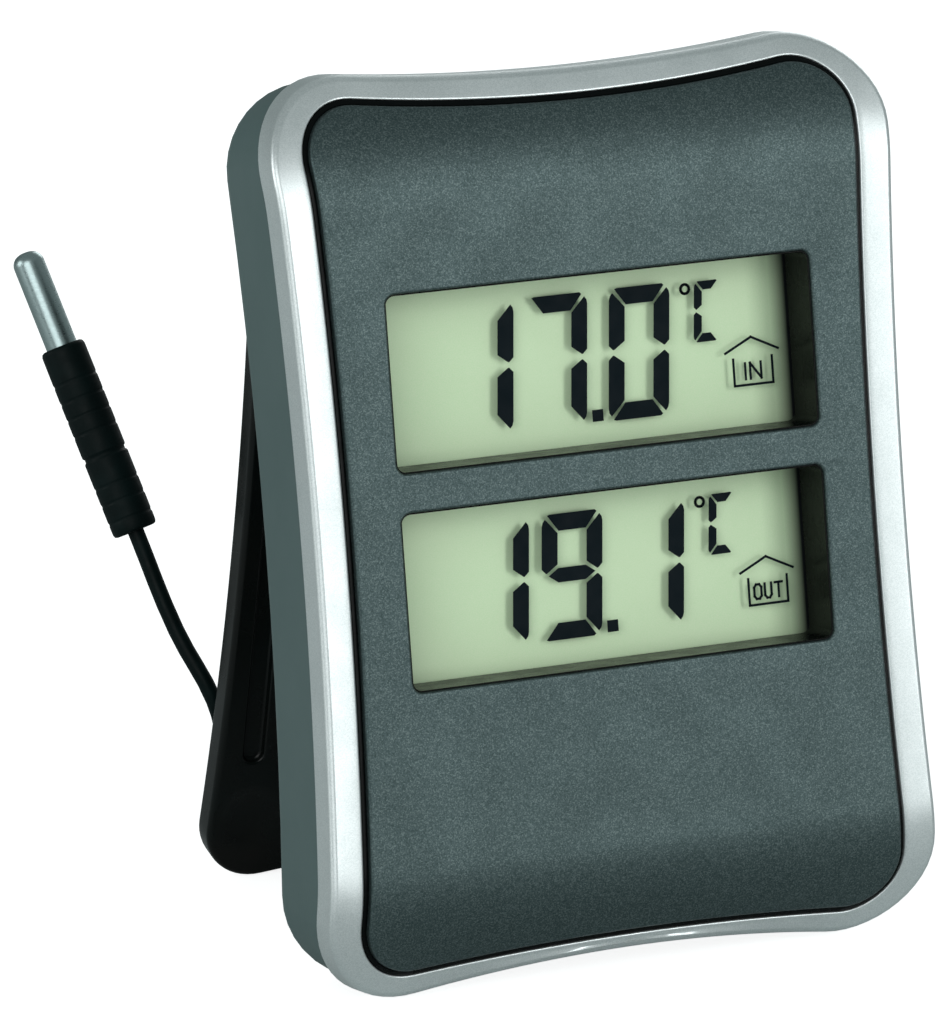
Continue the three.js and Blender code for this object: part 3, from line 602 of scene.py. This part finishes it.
# Points of the two free runs, in millimetres in the part's frame
RUN_TO_COIL = (
    (15, 9.5, 32.7),
    (15.5, 14, 31),
    (16.8, 18.4, 28),
    (18.9, 22.5, 23.6),
    (22.2, 26.2, 18),
    (26.4, 29.6, 12.2),
    (31.2, 32.7, 7),
    (36.4, 35.8, 3.2),
    (41, 39.2, 1.6),
    (44.6, 43, 1.4),
    (46.6, 47.5, 1.45),
)
RUN_TO_PROBE = (
    (1.1, 48, 5.8),
    (-0.6, 42.5, 3.8),
    (-3.4, 37.7, 1.8),
    (-7.6, 33.8, 1),
    (-12.6, 31.2, 1.02),
    (-17.8, 29.5, 1.8),
    (-22.5, 28.2, 4.6),
    (-26, 26.4, 9.4),
    (-28.3, 24.7, 15.5),
    (-30.2, 23.4, 21.5),
    (-33.35, 27, 29.3),
    (-36.3, 31.73, 40.1),
)
COIL_CENTRE = (24.0, 58.0)
COIL_MEAN = 17.1
COIL_COLUMNS = 7
COIL_ROWS = 4
COIL_BASE = 0.5
PER_TURN = 24  # points


def coil_points():
    """Turns of the coil: rows wound inwards and outwards in turn, each laid on the one below."""
    reach = (COIL_COLUMNS - 1) * PITCH / 2
    points = []
    turns = 0.0
    for row in range(COIL_ROWS):
        inwards = row % 2 == 0
        height = COIL_BASE + PITCH / 2 + row * PITCH
        steps = (COIL_COLUMNS - 1) * PER_TURN
        for i in range(steps):
            share = i / steps if inwards else 1 - i / steps
            points.append((turns + i / PER_TURN, COIL_MEAN + reach * (1 - 2 * share), height))
        turns += COIL_COLUMNS - 1
        if row == COIL_ROWS - 1:
            points.append((turns, COIL_MEAN + reach, height))
            break
        radius = COIL_MEAN - reach if inwards else COIL_MEAN + reach
        climb = PER_TURN // 2
        for i in range(climb):
            share = i / climb
            lift = PITCH * share * share * (3 - 2 * share)
            points.append((turns + i / PER_TURN, radius, height + lift))
        turns += 0.5
    x, y = COIL_CENTRE
    return [(x + r * math.cos(math.tau * t), y + r * math.sin(math.tau * t), z) for t, r, z in points]


def add_cable():
    """The whole cable as one curve: out of the grommet, round the coil and up to the probe."""
    route = [Vector(p) * MM for p in (*RUN_TO_COIL, *coil_points(), *RUN_TO_PROBE)]
    route.insert(0, EXIT)
    data = bpy.data.curves.new("sensor_cable", "CURVE")
    data.dimensions = "3D"
    data.resolution_u = 4
    data.bevel_depth = CABLE_DIAMETER / 2
    data.bevel_resolution = 4
    data.use_fill_caps = True
    spline = data.splines.new("BEZIER")
    spline.bezier_points.add(len(route) - 1)
    for point, place_at in zip(spline.bezier_points, route):
        point.co = place_at
        point.handle_left_type = point.handle_right_type = "AUTO"
    data.materials.append(CABLE_JACKET)
    cable = linked("sensor_cable", data)
    return settle(cable, "case", CABLE_NODES)


PROBE_DIRECTION = (-0.2362, 0.3885, 0.8906)
PROBE_RADIUS = 2.6
PROBE_LENGTH = 22.5  # of the sleeve
TIP_RADIUS = 1.8
TIP_LENGTH = 11.4  # out of the sleeve
TIP_FOOT = 1.7  # inside the sleeve
SOCKET_DEPTH = 2  # of the hole in the sleeve that the tip stands in
DOME = 0.8  # height of the tip's end against its radius, and the power that flattens it
SLEEVE_GROOVES = (  # height, width and depth
    (1.7, 0.36, 0.07),
    (3.9, 0.36, 0.07),
    (5.9, 0.36, 0.07),
    (9.35, 0.7, 0.2),
    (12.3, 0.36, 0.07),
    (14.3, 0.36, 0.07),
    (16.3, 0.36, 0.07),
    (18.4, 0.36, 0.07),
)


def probe_matrix():
    """Frame of the probe: its foot at the end of the cable, z along it."""
    matrix = Vector(PROBE_DIRECTION).normalized().to_track_quat("Z", "Y").to_matrix().to_4x4()
    matrix.translation = Vector(RUN_TO_PROBE[-1]) * MM
    return matrix


def add_sleeve():
    """Rubber sleeve: a plain grip with fine grooves and one deep one, and square ends with small rounds."""
    r, end = PROBE_RADIUS, PROBE_LENGTH
    profile = [(0, 0.05), (0.96, 0.05), (1.0, 0.0), (r - 0.45, 0.0), (r - 0.15, 0.1), (r - 0.02, 0.4)]
    for along, width, depth in SLEEVE_GROOVES:
        profile += [
            (r, along - width / 2 - 0.12),
            (r - 0.03, along - width / 2),
            (r - depth, along - width / 4),
            (r - depth, along + width / 4),
            (r - 0.03, along + width / 2),
            (r, along + width / 2 + 0.12),
        ]
    profile += [(r - 0.02, end - 0.5), (r - 0.15, end - 0.15), (r - 0.4, end)]
    profile += [(TIP_RADIUS + 0.2, end), (TIP_RADIUS + 0.1, end - 0.3)]
    profile += [(TIP_RADIUS + 0.1, end - SOCKET_DEPTH), (0, end - SOCKET_DEPTH)]
    look = (SLEEVE_RUBBER, "rubber_black")
    return place("probe_sleeve_ribbed", turned(profile), probe_matrix(), "case", *look, ["probe_sleeve"], 50)


def add_tip():
    """Steel tip: thin tube with a domed, slightly flattened end."""
    foot, shoulder = PROBE_LENGTH - TIP_FOOT, PROBE_LENGTH + TIP_LENGTH - TIP_RADIUS * DOME
    profile = [(0, foot), (TIP_RADIUS, foot), (TIP_RADIUS, shoulder - 6), (TIP_RADIUS, shoulder)]
    for i in range(1, 12):
        angle = math.pi / 2 * i / 12
        profile.append((TIP_RADIUS * math.cos(angle) ** DOME, shoulder + TIP_RADIUS * DOME * math.sin(angle)))
    profile.append((0, shoulder + TIP_RADIUS * DOME))
    shape, look = turned(profile, 64), (TIP_STEEL, "tip_steel")
    return place("probe_tip_polished", shape, probe_matrix(), "case", *look, ["probe_tip"], 60, False)


TIE_ANGLE = math.radians(75)  # about the coil
TIE_WIDTHS = (-1.2, 0.0, 1.2)
TIE_EDGE = 1.35
TIE_INNER, TIE_OUTER = 0.08, 0.42  # out from the turns
TIE_CORNERS = (1.0, 1.3)  # inner and outer radius
TIE_CROWN = 0.006  # share by which the band closes in for each millimetre from its middle
TWIST_AT = (1.5, 0.9)  # in from the band's corner, and up
TWIST_TURNS = 3
TWIST_STEPS = 36
TWIST_LENGTH = 9
TWIST_HALF = 0.28  # half the side of a wire of the twist


def add_twist(body, side, start, base):
    """One of the two twisted ends, on top of the band. side is the angle at which it starts."""
    previous = None
    for i in range(TWIST_STEPS + 1):
        share = i / TWIST_STEPS
        angle = side + TWIST_TURNS * 2 * math.pi * share
        spread = 0.42 + 0.5 * share**4
        x = start + spread * math.cos(angle) + TWIST_LENGTH * share
        y = base + 0.1 * math.sin(6 * share)
        z = spread * math.sin(angle)
        first = len(body.points)
        for up, out in ((1, -1), (1, 1), (-1, 1), (-1, -1)):
            body.points.append((x, y + up * TWIST_HALF, z + out * TWIST_HALF))
        ring = list(range(first, first + 4))
        if previous:
            body.strip([previous, ring])
        else:
            body.faces.append(tuple(ring))
        previous = ring
    body.faces.append(tuple(previous))


def add_tie():
    """Twist tie: a flat band round the coil's turns, its two ends twisted together on top."""
    half = (COIL_COLUMNS - 1) * PITCH / 2 + PITCH / 2
    height = COIL_ROWS * PITCH
    body = Body()
    inner = rectangle(-half, half, 0, height, TIE_CORNERS[0] - TIE_INNER, TIE_INNER, steps=8)
    outer = rectangle(-half, half, 0, height, TIE_CORNERS[1] - TIE_OUTER, TIE_OUTER, steps=8)
    rings = [body.ring(outer * (1 - TIE_CROWN * abs(w)), w) for w in (-TIE_EDGE, *TIE_WIDTHS, TIE_EDGE)]
    back = [body.ring(inner, w) for w in reversed(TIE_WIDTHS)]
    body.strip([*rings, *back, rings[0]])
    for side in (0, math.pi):
        add_twist(body, side, -half + TWIST_AT[0], height + TWIST_AT[1])
    x, y = COIL_CENTRE
    matrix = Matrix.Translation((x * MM, y * MM, COIL_BASE * MM)) @ Matrix.Rotation(TIE_ANGLE, 4, "Z")
    matrix = matrix @ Matrix.Translation((COIL_MEAN * MM, 0, 0)) @ Matrix.Rotation(math.pi / 2, 4, "X")
    return place("coil_twist_tie", body, matrix, "case", TIE_WHITE, "tie_white", ["coil_tie"])


cable = add_cable()
sleeve = add_sleeve()
tip = add_tip()
tie = add_tie()


# -- front of the case
CREASE_RADIUS = 0.75
CREASE_STEPS = 6
CREASE_START = -0.35
SLOPE_END = (0.75, 0.12)  # distance from the lip, and z
LIP_ROUND = (0.32, 0.36)  # across and up
LIP_START = -0.32
GROOVE_Z = -1.2
LEDGE_Z = PANEL_BACK - 0.3
LEDGE_WIDTH = 2.0
# Profiles as (distance from the outline or from the lip, z), in millimetres
BEZEL_WALL = (
    (1.6, -BEZEL_DEPTH),
    (0.25, -BEZEL_DEPTH),
    (0.08, -BEZEL_DEPTH + 0.06),
    (0.0, -BEZEL_DEPTH + 0.25),
    (0.0, -2.4),
)
# Profile of the black strip that paints the groove's shade, as (inset from the lip, z)
GROOVE_SHADE_PROFILE = ((0.04, -2.0), (0.04, -0.3), (0.1, -0.22), (0.54, -0.22), (0.6, -0.3), (0.6, -2.0))


def add_bezel():
    """Silver ring: rounded crease, face sloping down to the lip, groove wall and ledge behind the panel."""
    outer, lip = pincushion(CASE), pincushion(LIP)
    across = lip - outer
    across = across / np.linalg.norm(across, axis=1)[:, None]
    body = Body()
    rings = []

    def add(points, z):
        rings.append(body.face_ring(points, z))

    for distance, z in BEZEL_WALL:
        add(outer + across * distance, z)
    for i in range(CREASE_STEPS + 1):
        angle = math.pi / 2 * i / CREASE_STEPS
        distance = CREASE_RADIUS * (1 - math.cos(angle))
        add(outer + across * distance, CREASE_START + CREASE_RADIUS * math.sin(angle))
    add(lip - across * SLOPE_END[0], SLOPE_END[1])
    for angle in QUARTER:
        distance = LIP_ROUND[0] * (1 - math.sin(angle))
        add(lip - across * distance, LIP_START + LIP_ROUND[1] * math.cos(angle))
    add(lip, GROOVE_Z)
    add(lip, LEDGE_Z)
    ledge = pincushion(LIP, LEDGE_WIDTH)
    add(ledge, LEDGE_Z)
    add(ledge, -BEZEL_DEPTH)
    body.strip([*rings, rings[0]])
    place("bezel_ring", body, FACE, "case", SILVER, "bezel_silver", ["front_bezel"], sharp=50)


def add_groove_shade():
    """Black strip in the groove between the bezel and the panel: a dark sheet that stands for the shade in
    the deep, narrow groove, as painted shade.
    """
    body = Body()
    # painted shade: a black strip where the groove is in shadow
    rings = [body.face_ring(pincushion(LIP, inset), z) for inset, z in GROOVE_SHADE_PROFILE]
    body.strip([*rings, rings[0]])
    place("groove_shade_strip", body, FACE, "case", CARRIER, "black_parts")


ROLL_STRIP = 0.6  # width of the strips that a flat mesh is cut into where it is bent


def roll_back(mesh):
    """Cuts a flat mesh into narrow strips where the face rolls back, and bends it."""
    bm = bmesh.new()
    bm.from_mesh(mesh)
    for i in range(int((CASE["half_height"] - ROLL_START) / ROLL_STRIP)):
        for side in (-1, 1):
            everything = bm.verts[:] + bm.edges[:] + bm.faces[:]
            level = side * (ROLL_START + ROLL_STRIP * i)
            bmesh.ops.bisect_plane(bm, geom=everything, dist=1e-5, plane_co=(0, level, 0), plane_no=(0, 1, 0))
    for vertex in bm.verts:
        vertex.co.z += float(roll(np.array(vertex.co.y)))
    bm.to_mesh(mesh)
    bm.free()
    return mesh


WINDOW_CORNER = 1.2


def window(limits, grow=0.0):
    """Outline function of a display window between two heights on the face."""
    x, (low, high) = WINDOW_HALF_WIDTH, limits
    return lambda inset: rectangle(-x, x, low, high, WINDOW_CORNER, grow + inset)


def add_panel():
    """Front panel with its two windows, bent back at its upper and lower end."""
    body = plate(
        lambda inset: pincushion(LIP, PANEL_GAP + inset),
        [window(UPPER_WINDOW), window(LOWER_WINDOW)],
        PANEL_BACK,
        PANEL_PROUD,
        low_radius=0.1,
        high_radius=0.28,
    )
    mesh = roll_back(body.mesh("panel_plate"))
    place("panel_plate", mesh, FACE, "case", ANTHRACITE, "panel_anthracite", ["front_panel"])


CARRIER_OUTLINE = (-28.4, 28.4, -19.6, 29.9, 0.5)  # x, x, y, y and corner radius
CARRIER_BACK, CARRIER_FRONT = -5.5, -2.5
COLLAR_FOOT = CARRIER_FRONT - 0.1
# Profile of a collar as (distance inside the window, z)
COLLAR = (
    (0.04, COLLAR_FOOT),
    (0.04, 0.2),
    (0.08, 0.25),
    (0.14, 0.25),
    (WINDOW_LINING, 0.2),
    (WINDOW_LINING, COLLAR_FOOT),
)


def add_carrier():
    """Glossy black frame, a little inside the panel's windows, with a collar up through each of them."""
    body = plate(
        lambda inset: rectangle(*CARRIER_OUTLINE, -inset),
        [window(UPPER_WINDOW, -WINDOW_LINING), window(LOWER_WINDOW, -WINDOW_LINING)],
        CARRIER_BACK,
        CARRIER_FRONT,
        low_radius=0.05,
        high_radius=0.15,
    )
    for limits in (UPPER_WINDOW, LOWER_WINDOW):
        rings = [body.ring(window(limits, -inward)(0), z) for inward, z in COLLAR]
        body.strip([*rings, rings[0]])
    place("carrier_frame", body, FACE, "case", CARRIER, "carrier_black", ["display_carrier"])


# -- display
DIGIT_WIDTH = 7.25
DIGIT_UP = 7.04  # above the waist
DIGIT_DOWN = 7.42  # below the waist
STROKE = 1.88
SLANT = 0.078
SEGMENT_GAP = 0.21
DIGIT_RIGHTS = (-8.22, 0.56, 10.42)
FILM_FRONT = -5.62
FILM_THICKNESS = 0.05
REFLECTOR_OUTLINE = (-27, 27, -18.3, 28.6, 0.3)  # x, x, y, y and corner radius
REFLECTOR_BACK, REFLECTOR_FRONT = -7.2, -6.65
LINE = 0.27
RING_LINE = 0.3
SEGMENTS = {"0": "abcdef", "1": "bc", "7": "abc", "9": "abcdfg", "C": "adef"}
# Heights below are above the middle of a reading, or above the floor of its house
POINT_X = (0.7, 2.0)
POINT_RISE = 0.15
DEGREE_AT = (12.75, 6.1)
DEGREE_RADIUS = 0.5
UNIT_AT = (14.95, 3.55)
UNIT_SHAPE = dict(width=3.1, up=3.25, down=3.45, stroke=0.95, gap=0.2)
HOUSE_ROOF = ((17.1, 3.7), (20.3, 5.25), (23.5, 3.7))
HOUSE_WALLS = ((18.0, 2.95), (18.0, 0.0), (22.7, 0.0), (22.7, 2.95))
LABEL_MIDDLE = 20.35
LABEL_RISE = 0.65
LABEL_SIZES = {"IN": (1.75, 1.0), "OUT": (1.6, 0.82)}  # height, and width against it
LETTER_SPACING = 0.34
LETTER_WIDTHS = {"I": 0.0, "N": 0.75, "O": 0.65, "U": 0.6, "T": 0.66}
# Name, digits, label, y of the middle, scale of the digits' height, distance down to the house
READINGS = (
    ("indoor_reading", "170", "IN", 17.13, 1.0, 5.2),
    ("outdoor_reading", "191", "OUT", -6.41, 0.957, 6.06),
)


def segment(letter, width, up, down, stroke, gap):
    """One segment of a digit, about the middle of its waist, as a polygon. The small cuts at its corners
    are in millimetres for the stroke of the large digits, and k scales them."""
    w, t, k = width / 2, stroke, stroke / STROKE
    h = up if letter in "abfg" else down
    bar = [
        (-w + 0.62 * k, h - 0.1 * k),
        (-w + 0.9 * k, h),
        (w - 0.95 * k, h),
        (w - 0.72 * k, h - 0.2 * k),
        (w - t - gap * 0.6, h - t),
        (-w + t + gap * 0.6, h - t),
    ]
    post = [
        (w - 0.37 * k, h - 0.5 * k),
        (w - t, h - t - gap * 1.2),
        (w - t, 1.2 * k),
        (w - 0.62 * k, 0.3 * k),
        (w - 0.5 * k, 0.3 * k),
        (w, 0.8 * k),
        (w, h - 1.3 * k),
        (w - 0.1 * k, h - 0.85 * k),
    ]
    middle = [
        (-w + 0.62 * k + gap, 0),
        (-w + t + gap * 0.6, t * 0.42),
        (w - t - gap * 0.6, t * 0.42),
        (w - 0.62 * k - gap, 0),
        (w - t - gap * 0.6, -t * 0.42),
        (-w + t + gap * 0.6, -t * 0.42),
    ]
    flip_x = -1 if letter in "ef" else 1
    flip_y = -1 if letter in "cde" else 1
    shape = {"a": bar, "d": bar, "g": middle}.get(letter, post)
    return [(x * flip_x, y * flip_y) for x, y in shape]


def stroke_line(start, end, thickness):
    """A straight line of the display as a polygon with square ends."""
    a, b = Vector(start), Vector(end)
    along = (b - a).normalized() * thickness / 2
    side = Vector((-along.y, along.x))
    corners = (a - along + side, a - along - side, b + along - side, b + along + side)
    return [tuple(corner) for corner in corners]


def polyline(points, thickness):
    """Polygons of the lines from each point to the next."""
    return [stroke_line(a, b, thickness) for a, b in zip(points, points[1:])]


LETTER_O = ((0, 0.2), (0, 0.8), (0.18, 1), (0.47, 1), (0.65, 0.8), (0.65, 0.2), (0.47, 0), (0.18, 0))
LETTERS = {
    "I": [[(0, 0), (0, 1)]],
    "N": [[(0, 0), (0, 1), (0.75, 0), (0.75, 1)]],
    "O": [[*LETTER_O, LETTER_O[0]]],
    "U": [[(0, 1), (0, 0.2), (0.18, 0), (0.42, 0), (0.6, 0.2), (0.6, 1)]],
    "T": [[(0, 1), (0.66, 1)], [(0.33, 1), (0.33, 0)]],
}


def reading(digits, label, middle, tall, house):
    """All polygons of one display: three digits, the point, the degree sign, C and the house."""
    shapes = []

    def slanted(points, x, y):
        return [(x + px + SLANT * (py + y - middle), y + py) for px, py in points]

    def lines(points, x, y, thickness, wide=1.0, high=1.0):
        return polyline([(x + px * wide, y + py * high) for px, py in points], thickness)

    for digit, right in zip(digits, DIGIT_RIGHTS):
        for letter in SEGMENTS[digit]:
            shape = segment(letter, DIGIT_WIDTH, DIGIT_UP * tall, DIGIT_DOWN * tall, STROKE, SEGMENT_GAP)
            shapes.append(slanted(shape, right - DIGIT_WIDTH / 2, middle))
    left, right = POINT_X
    low = middle - DIGIT_DOWN * tall + POINT_RISE
    high = low + right - left
    shapes.append([(left, low), (right, low), (right, high), (left, high)])
    ring = circle(DEGREE_AT[0], middle + DEGREE_AT[1], DEGREE_RADIUS, 20)
    shapes += polyline([tuple(p) for p in ring] + [tuple(ring[0])], RING_LINE)
    for letter in SEGMENTS["C"]:
        shapes.append(slanted(segment(letter, **UNIT_SHAPE), UNIT_AT[0], middle + UNIT_AT[1]))
    base = middle - house
    shapes += lines(HOUSE_ROOF, 0, base, LINE)
    shapes += lines(HOUSE_WALLS, 0, base, LINE)
    size, squeeze = LABEL_SIZES[label]
    total = sum(LETTER_WIDTHS[c] for c in label) + LETTER_SPACING * (len(label) - 1)
    cursor = LABEL_MIDDLE - total * size * squeeze / 2
    for c in label:
        for path in LETTERS[c]:
            shapes += lines(path, cursor, base + LABEL_RISE, LINE, size * squeeze, size)
        cursor += (LETTER_WIDTHS[c] + LETTER_SPACING) * size * squeeze
    return shapes


def add_reading(name, *what):
    """One piece of all the dark marks of a display. They cross, so its points are not merged."""
    body = Body()
    for shape in reading(*what):
        rings = [body.ring(shape, z) for z in (FILM_FRONT - FILM_THICKNESS, FILM_FRONT)]
        body.strip(rings)
        body.faces += [tuple(rings[0][::-1]), tuple(rings[1])]
    mesh = bpy.data.meshes.new(name)
    mesh.from_pydata(body.points, [], body.faces)
    place(name, mesh, FACE, "case", SEGMENT, "carrier_black", weighted=False, sharp=20)


def add_display():
    """Reflector behind the two readings, and the readings on a film in front of it."""
    body = plate(
        lambda inset: rectangle(*REFLECTOR_OUTLINE, -inset),
        [],
        REFLECTOR_BACK,
        REFLECTOR_FRONT,
        low_radius=0.05,
        high_radius=0.08,
    )
    place("display_reflector", body, FACE, "case", REFLECTOR, "display", ["display_glass"])
    for row in READINGS:
        add_reading(*row)


# -- stand
STAND_THICKNESS = 3.5
STAND_EDGE = 0.7  # radius
STAND_OPENING = (-23.7, 23.7, -37.5, 27.5, 3)  # x, x, y, y and corner radius
CHANNEL_X = (25.8, 28.3)
CHANNEL_Y = (-34, 29)
CHANNEL_CORNER = 1.2
CHANNEL_SINK = (0.8, 0.3, 0.45)  # depth, mouth radius and floor radius
DISH_AT = (27.0, -41.3)
PIN_START = 33.2  # x of the outer end, from where the pin goes inwards
PIN_PROFILE = ((0, 0), (0.85, 0), (1.1, 0.25), (1.1, 4.0), (0, 4.0))


def stand_matrix():
    """Folded face frame to the stand's place at rest, fully open about its hinge."""
    opened = math.radians(JOINTS["stand_hinge"]["range_deg"][1])
    pivot = Matrix.Translation(Vector((0, *HINGE)) * MM)
    return FACE @ pivot @ Matrix.Rotation(opened, 4, "X") @ pivot.inverted()


def channel(side):
    """Outline function of the channel down one arm of the stand."""
    x0, x1 = sorted(side * x for x in CHANNEL_X)
    return lambda inset: rectangle(x0, x1, *CHANNEL_Y, CHANNEL_CORNER, inset, 8)


def dish(side):
    """Outline function of the dish at one lower corner of the stand."""
    x, y = DISH_AT
    return lambda inset: circle(side * x, y, DISH_RADIUS + inset)


def add_stand():
    """Leg: a frame with rounded edges, a channel down each arm and a dish at each lower corner."""
    sides = (-1, 1)
    body = plate(
        lambda inset: pincushion(STAND, inset, STAND_CENTRE_Y),
        [lambda inset: rectangle(*STAND_OPENING, inset)],
        HINGE[1] - STAND_THICKNESS / 2,
        HINGE[1] + STAND_THICKNESS / 2,
        STAND_EDGE,
        STAND_EDGE,
        [(channel(side), *CHANNEL_SINK) for side in sides],
        [dish(side) for side in sides],
    )
    place("stand_leg_moulded", body, stand_matrix(), "stand", STAND_BLACK, "stand_black", ["stand_leg"])
    for side, name in zip(sides, ("stand_pin_left", "stand_pin_right")):
        turn = Matrix.Translation(Vector((side * PIN_START, *HINGE)) * MM)
        turn = turn @ Matrix.Rotation(-side * math.pi / 2, 4, "Y")
        place(name, turned(PIN_PROFILE, 24), FACE @ turn, "stand", STAND_BLACK, "stand_black")


# -- rear of the case
BUTTONS = (("max_min_button", -14.0, 3.2), ("reset_button", 0.0, 2.4))  # node, x and radius
BUTTON_Y = 19.0
BUTTON_TOP = REAR - 0.7
BUTTON_FLANGE = (REAR + 2.1, REAR + 3.0)
PLUNGER_RADIUS = 1.1
PLUNGER_END = -14.5
GROMMET_BORE = 1.0
GROMMET_FLANGE = 3.4
GROMMET_END = -7.5  # the tail's end, from the rear face
RINGS = 5
RING_START, RING_PITCH = -6.2, 1.15
RING_RADIUS, RING_GROWTH = 1.85, 0.09
RING_DEPTH = 0.28


def add_buttons():
    """Two caps with a shallow dish, each with its flange and plunger."""
    low, high = BUTTON_FLANGE
    for node, x, radius in BUTTONS:
        profile = [
            (0, BUTTON_TOP + 0.28),
            (radius * 0.5, BUTTON_TOP + 0.22),
            (radius * 0.8, BUTTON_TOP + 0.04),
            (radius - 0.35, BUTTON_TOP),
            (radius - 0.12, BUTTON_TOP + 0.08),
            (radius, BUTTON_TOP + 0.35),
            (radius, low),
            (radius + 0.8, low),
            (radius + 0.8, high),
            (PLUNGER_RADIUS, high),
            (PLUNGER_RADIUS, PLUNGER_END),
            (0, PLUNGER_END),
        ]
        matrix = FACE @ Matrix.Translation(Vector((x, BUTTON_Y, 0)) * MM)
        place(node + "_cap", turned(profile, 56), matrix, node, BUTTON_GREY, "button_grey", [node], sharp=40)


def add_grommet():
    """Bush with a flange inside the case and rings along its tapered tail."""
    profile = [(GROMMET_BORE, GROMMET_END), (1.7, GROMMET_END), (RING_RADIUS, GROMMET_END + 0.2)]
    for i in range(RINGS):
        along = RING_START + i * RING_PITCH
        radius = RING_RADIUS + RING_GROWTH * i
        profile += [
            (radius, along - 0.35),
            (radius - RING_DEPTH, along - 0.2),
            (radius - RING_DEPTH, along + 0.2),
            (radius, along + 0.35),
        ]
    profile += [(2.3, -0.5), (2.3, 2.1), (GROMMET_FLANGE, 2.1), (GROMMET_FLANGE, 3.1)]
    profile += [(GROMMET_BORE, 3.1), profile[0]]
    body = turned(profile, 40)
    matrix = FACE @ Matrix.Translation(Vector((*GROMMET_AT, REAR)) * MM)
    place("grommet_ringed", body, matrix, "case", SLEEVE_RUBBER, "rubber_black", ["cable_grommet"])


CAD_LOOKS = (
    (SLEEVE_RUBBER, ("contact_strip_upper", "contact_strip_lower")),
    (BOARD_GREEN, ("main_board",)),
    (EPOXY, ("controller_chip", "air_sensor", "max_min_click_switch", "reset_click_switch")),
    (EPOXY, ("battery_wire_negative", "probe_sensor_bead")),
    (PLATED, ("unit_switch_body", "positive_contact", "negative_spring", "board_screw_1", "board_screw_2")),
    (CELL_JACKET, ("aaa_cell",)),
    (WIRE_RED, ("battery_wire_positive",)),
    (CABLE_JACKET, ("sensor_cable_inner_lead",)),
)


def finish_cad_nodes():
    """Materials for the CAD nodes that stay as they are, all of them inside the case or the probe."""
    for material, nodes in CAD_LOOKS:
        for node in nodes:
            for material_slot in frame["nodes"][node].material_slots:
                material_slot.material = material


add_bezel()
add_groove_shade()
add_panel()
add_carrier()
add_display()
add_stand()
add_buttons()
add_grommet()
refined("rear_shell_moulded", "rear_shell", "case", SHELL)
refined("battery_door_moulded", "battery_door", "battery_door", SHELL, 0.18)
refined("unit_slider_moulded", "unit_slider", "unit_slider", BUTTON_GREY, 0.15)
for number in (1, 2, 3, 4):
    refined(f"case_screw_{number}_turned", f"case_screw_{number}", "case", PLATED, 0.1)
finish_cad_nodes()


# -- floor and light
FLOOR_X = (-4.0, -1.3, 1.3, 4.0)
FLOOR_START, FLOOR_DEPTH, FLOOR_ROWS = -3.0, 7.0, 24
SWEEP_START, SWEEP_RATE = 2.0, 0.6
AIM = Vector((0.0, 0.0, 0.05))
# Name, azimuth, elevation, distance, size and radiance
LIGHTS = (
    ("key", 26, 10, 1.3, (0.4, 1.1), 4.9),
    ("fill", -40, 22, 1.5, (1.1, 1.1), 2.0),
    ("left", -100, 12, 1.5, (0.9, 0.9), 2.2),
    ("rear", 138, 18, 1.6, (0.9, 0.8), 2.1),
)


def floor_paint():
    """Pale and matte. It glows a little to the camera alone, so that the background is white."""
    paint = Paint("floor", (0.56, 0.60, 0.60), 0.75, Emission_Color=(1, 1, 1, 1))
    seen = paint.nodes.new("ShaderNodeLightPath").outputs["Is Camera Ray"]
    paint.put("Emission Strength", paint.spread(seen, 0.0, 1.0, 0.0, 0.85))
    paint.vary_roughness(8, 3, 0.7, 0.8)
    return paint.material


def add_floor():
    """Seamless pale sweep, flat round the object and rising far behind it."""
    body = bmesh.new()
    rows = []
    for i in range(FLOOR_ROWS + 1):
        y = FLOOR_START + FLOOR_DEPTH * i / FLOOR_ROWS
        z = SWEEP_RATE * max(0.0, y - SWEEP_START) ** 2
        rows.append([body.verts.new((x, y, z)) for x in FLOOR_X])
    for a, b in zip(rows, rows[1:]):
        for i in range(len(FLOOR_X) - 1):
            body.faces.new((a[i], a[i + 1], b[i + 1], b[i]))
    mesh = bpy.data.meshes.new("floor")
    body.to_mesh(mesh)
    body.free()
    mesh.shade_smooth()
    mesh.materials.append(floor_paint())
    floor = linked("floor", mesh)


def add_light(name, azimuth, elevation, distance, size, radiance):
    """A soft panel of light that faces the object. Azimuth is from the front, towards the right."""
    turn, rise = math.radians(azimuth), math.radians(elevation)
    level = math.cos(rise)
    direction = Vector((math.sin(turn) * level, -math.cos(turn) * level, math.sin(rise)))
    data = bpy.data.lights.new(name, "AREA")
    data.shape = "RECTANGLE"
    data.size, data.size_y = size
    data.energy = radiance * size[0] * size[1] * math.pi
    lamp = linked(name, data)
    lamp.location = AIM + direction * distance
    lamp.rotation_mode = "QUATERNION"
    lamp.rotation_quaternion = (-direction).to_track_quat("-Z", "Y")


def add_world():
    """Even, slightly green light from all round."""
    world = bpy.data.worlds.new("studio")
    bpy.context.scene.world = world
    world.use_nodes = True
    background = world.node_tree.nodes["Background"]
    background.inputs["Color"].default_value = (0.88, 1.0, 1.0, 1)
    background.inputs["Strength"].default_value = 0.30


add_floor()
add_world()
for light in LIGHTS:
    add_light(*light)
bpy.context.scene.view_settings.view_transform = "Standard"
bpy.context.scene.view_settings.look = "None"
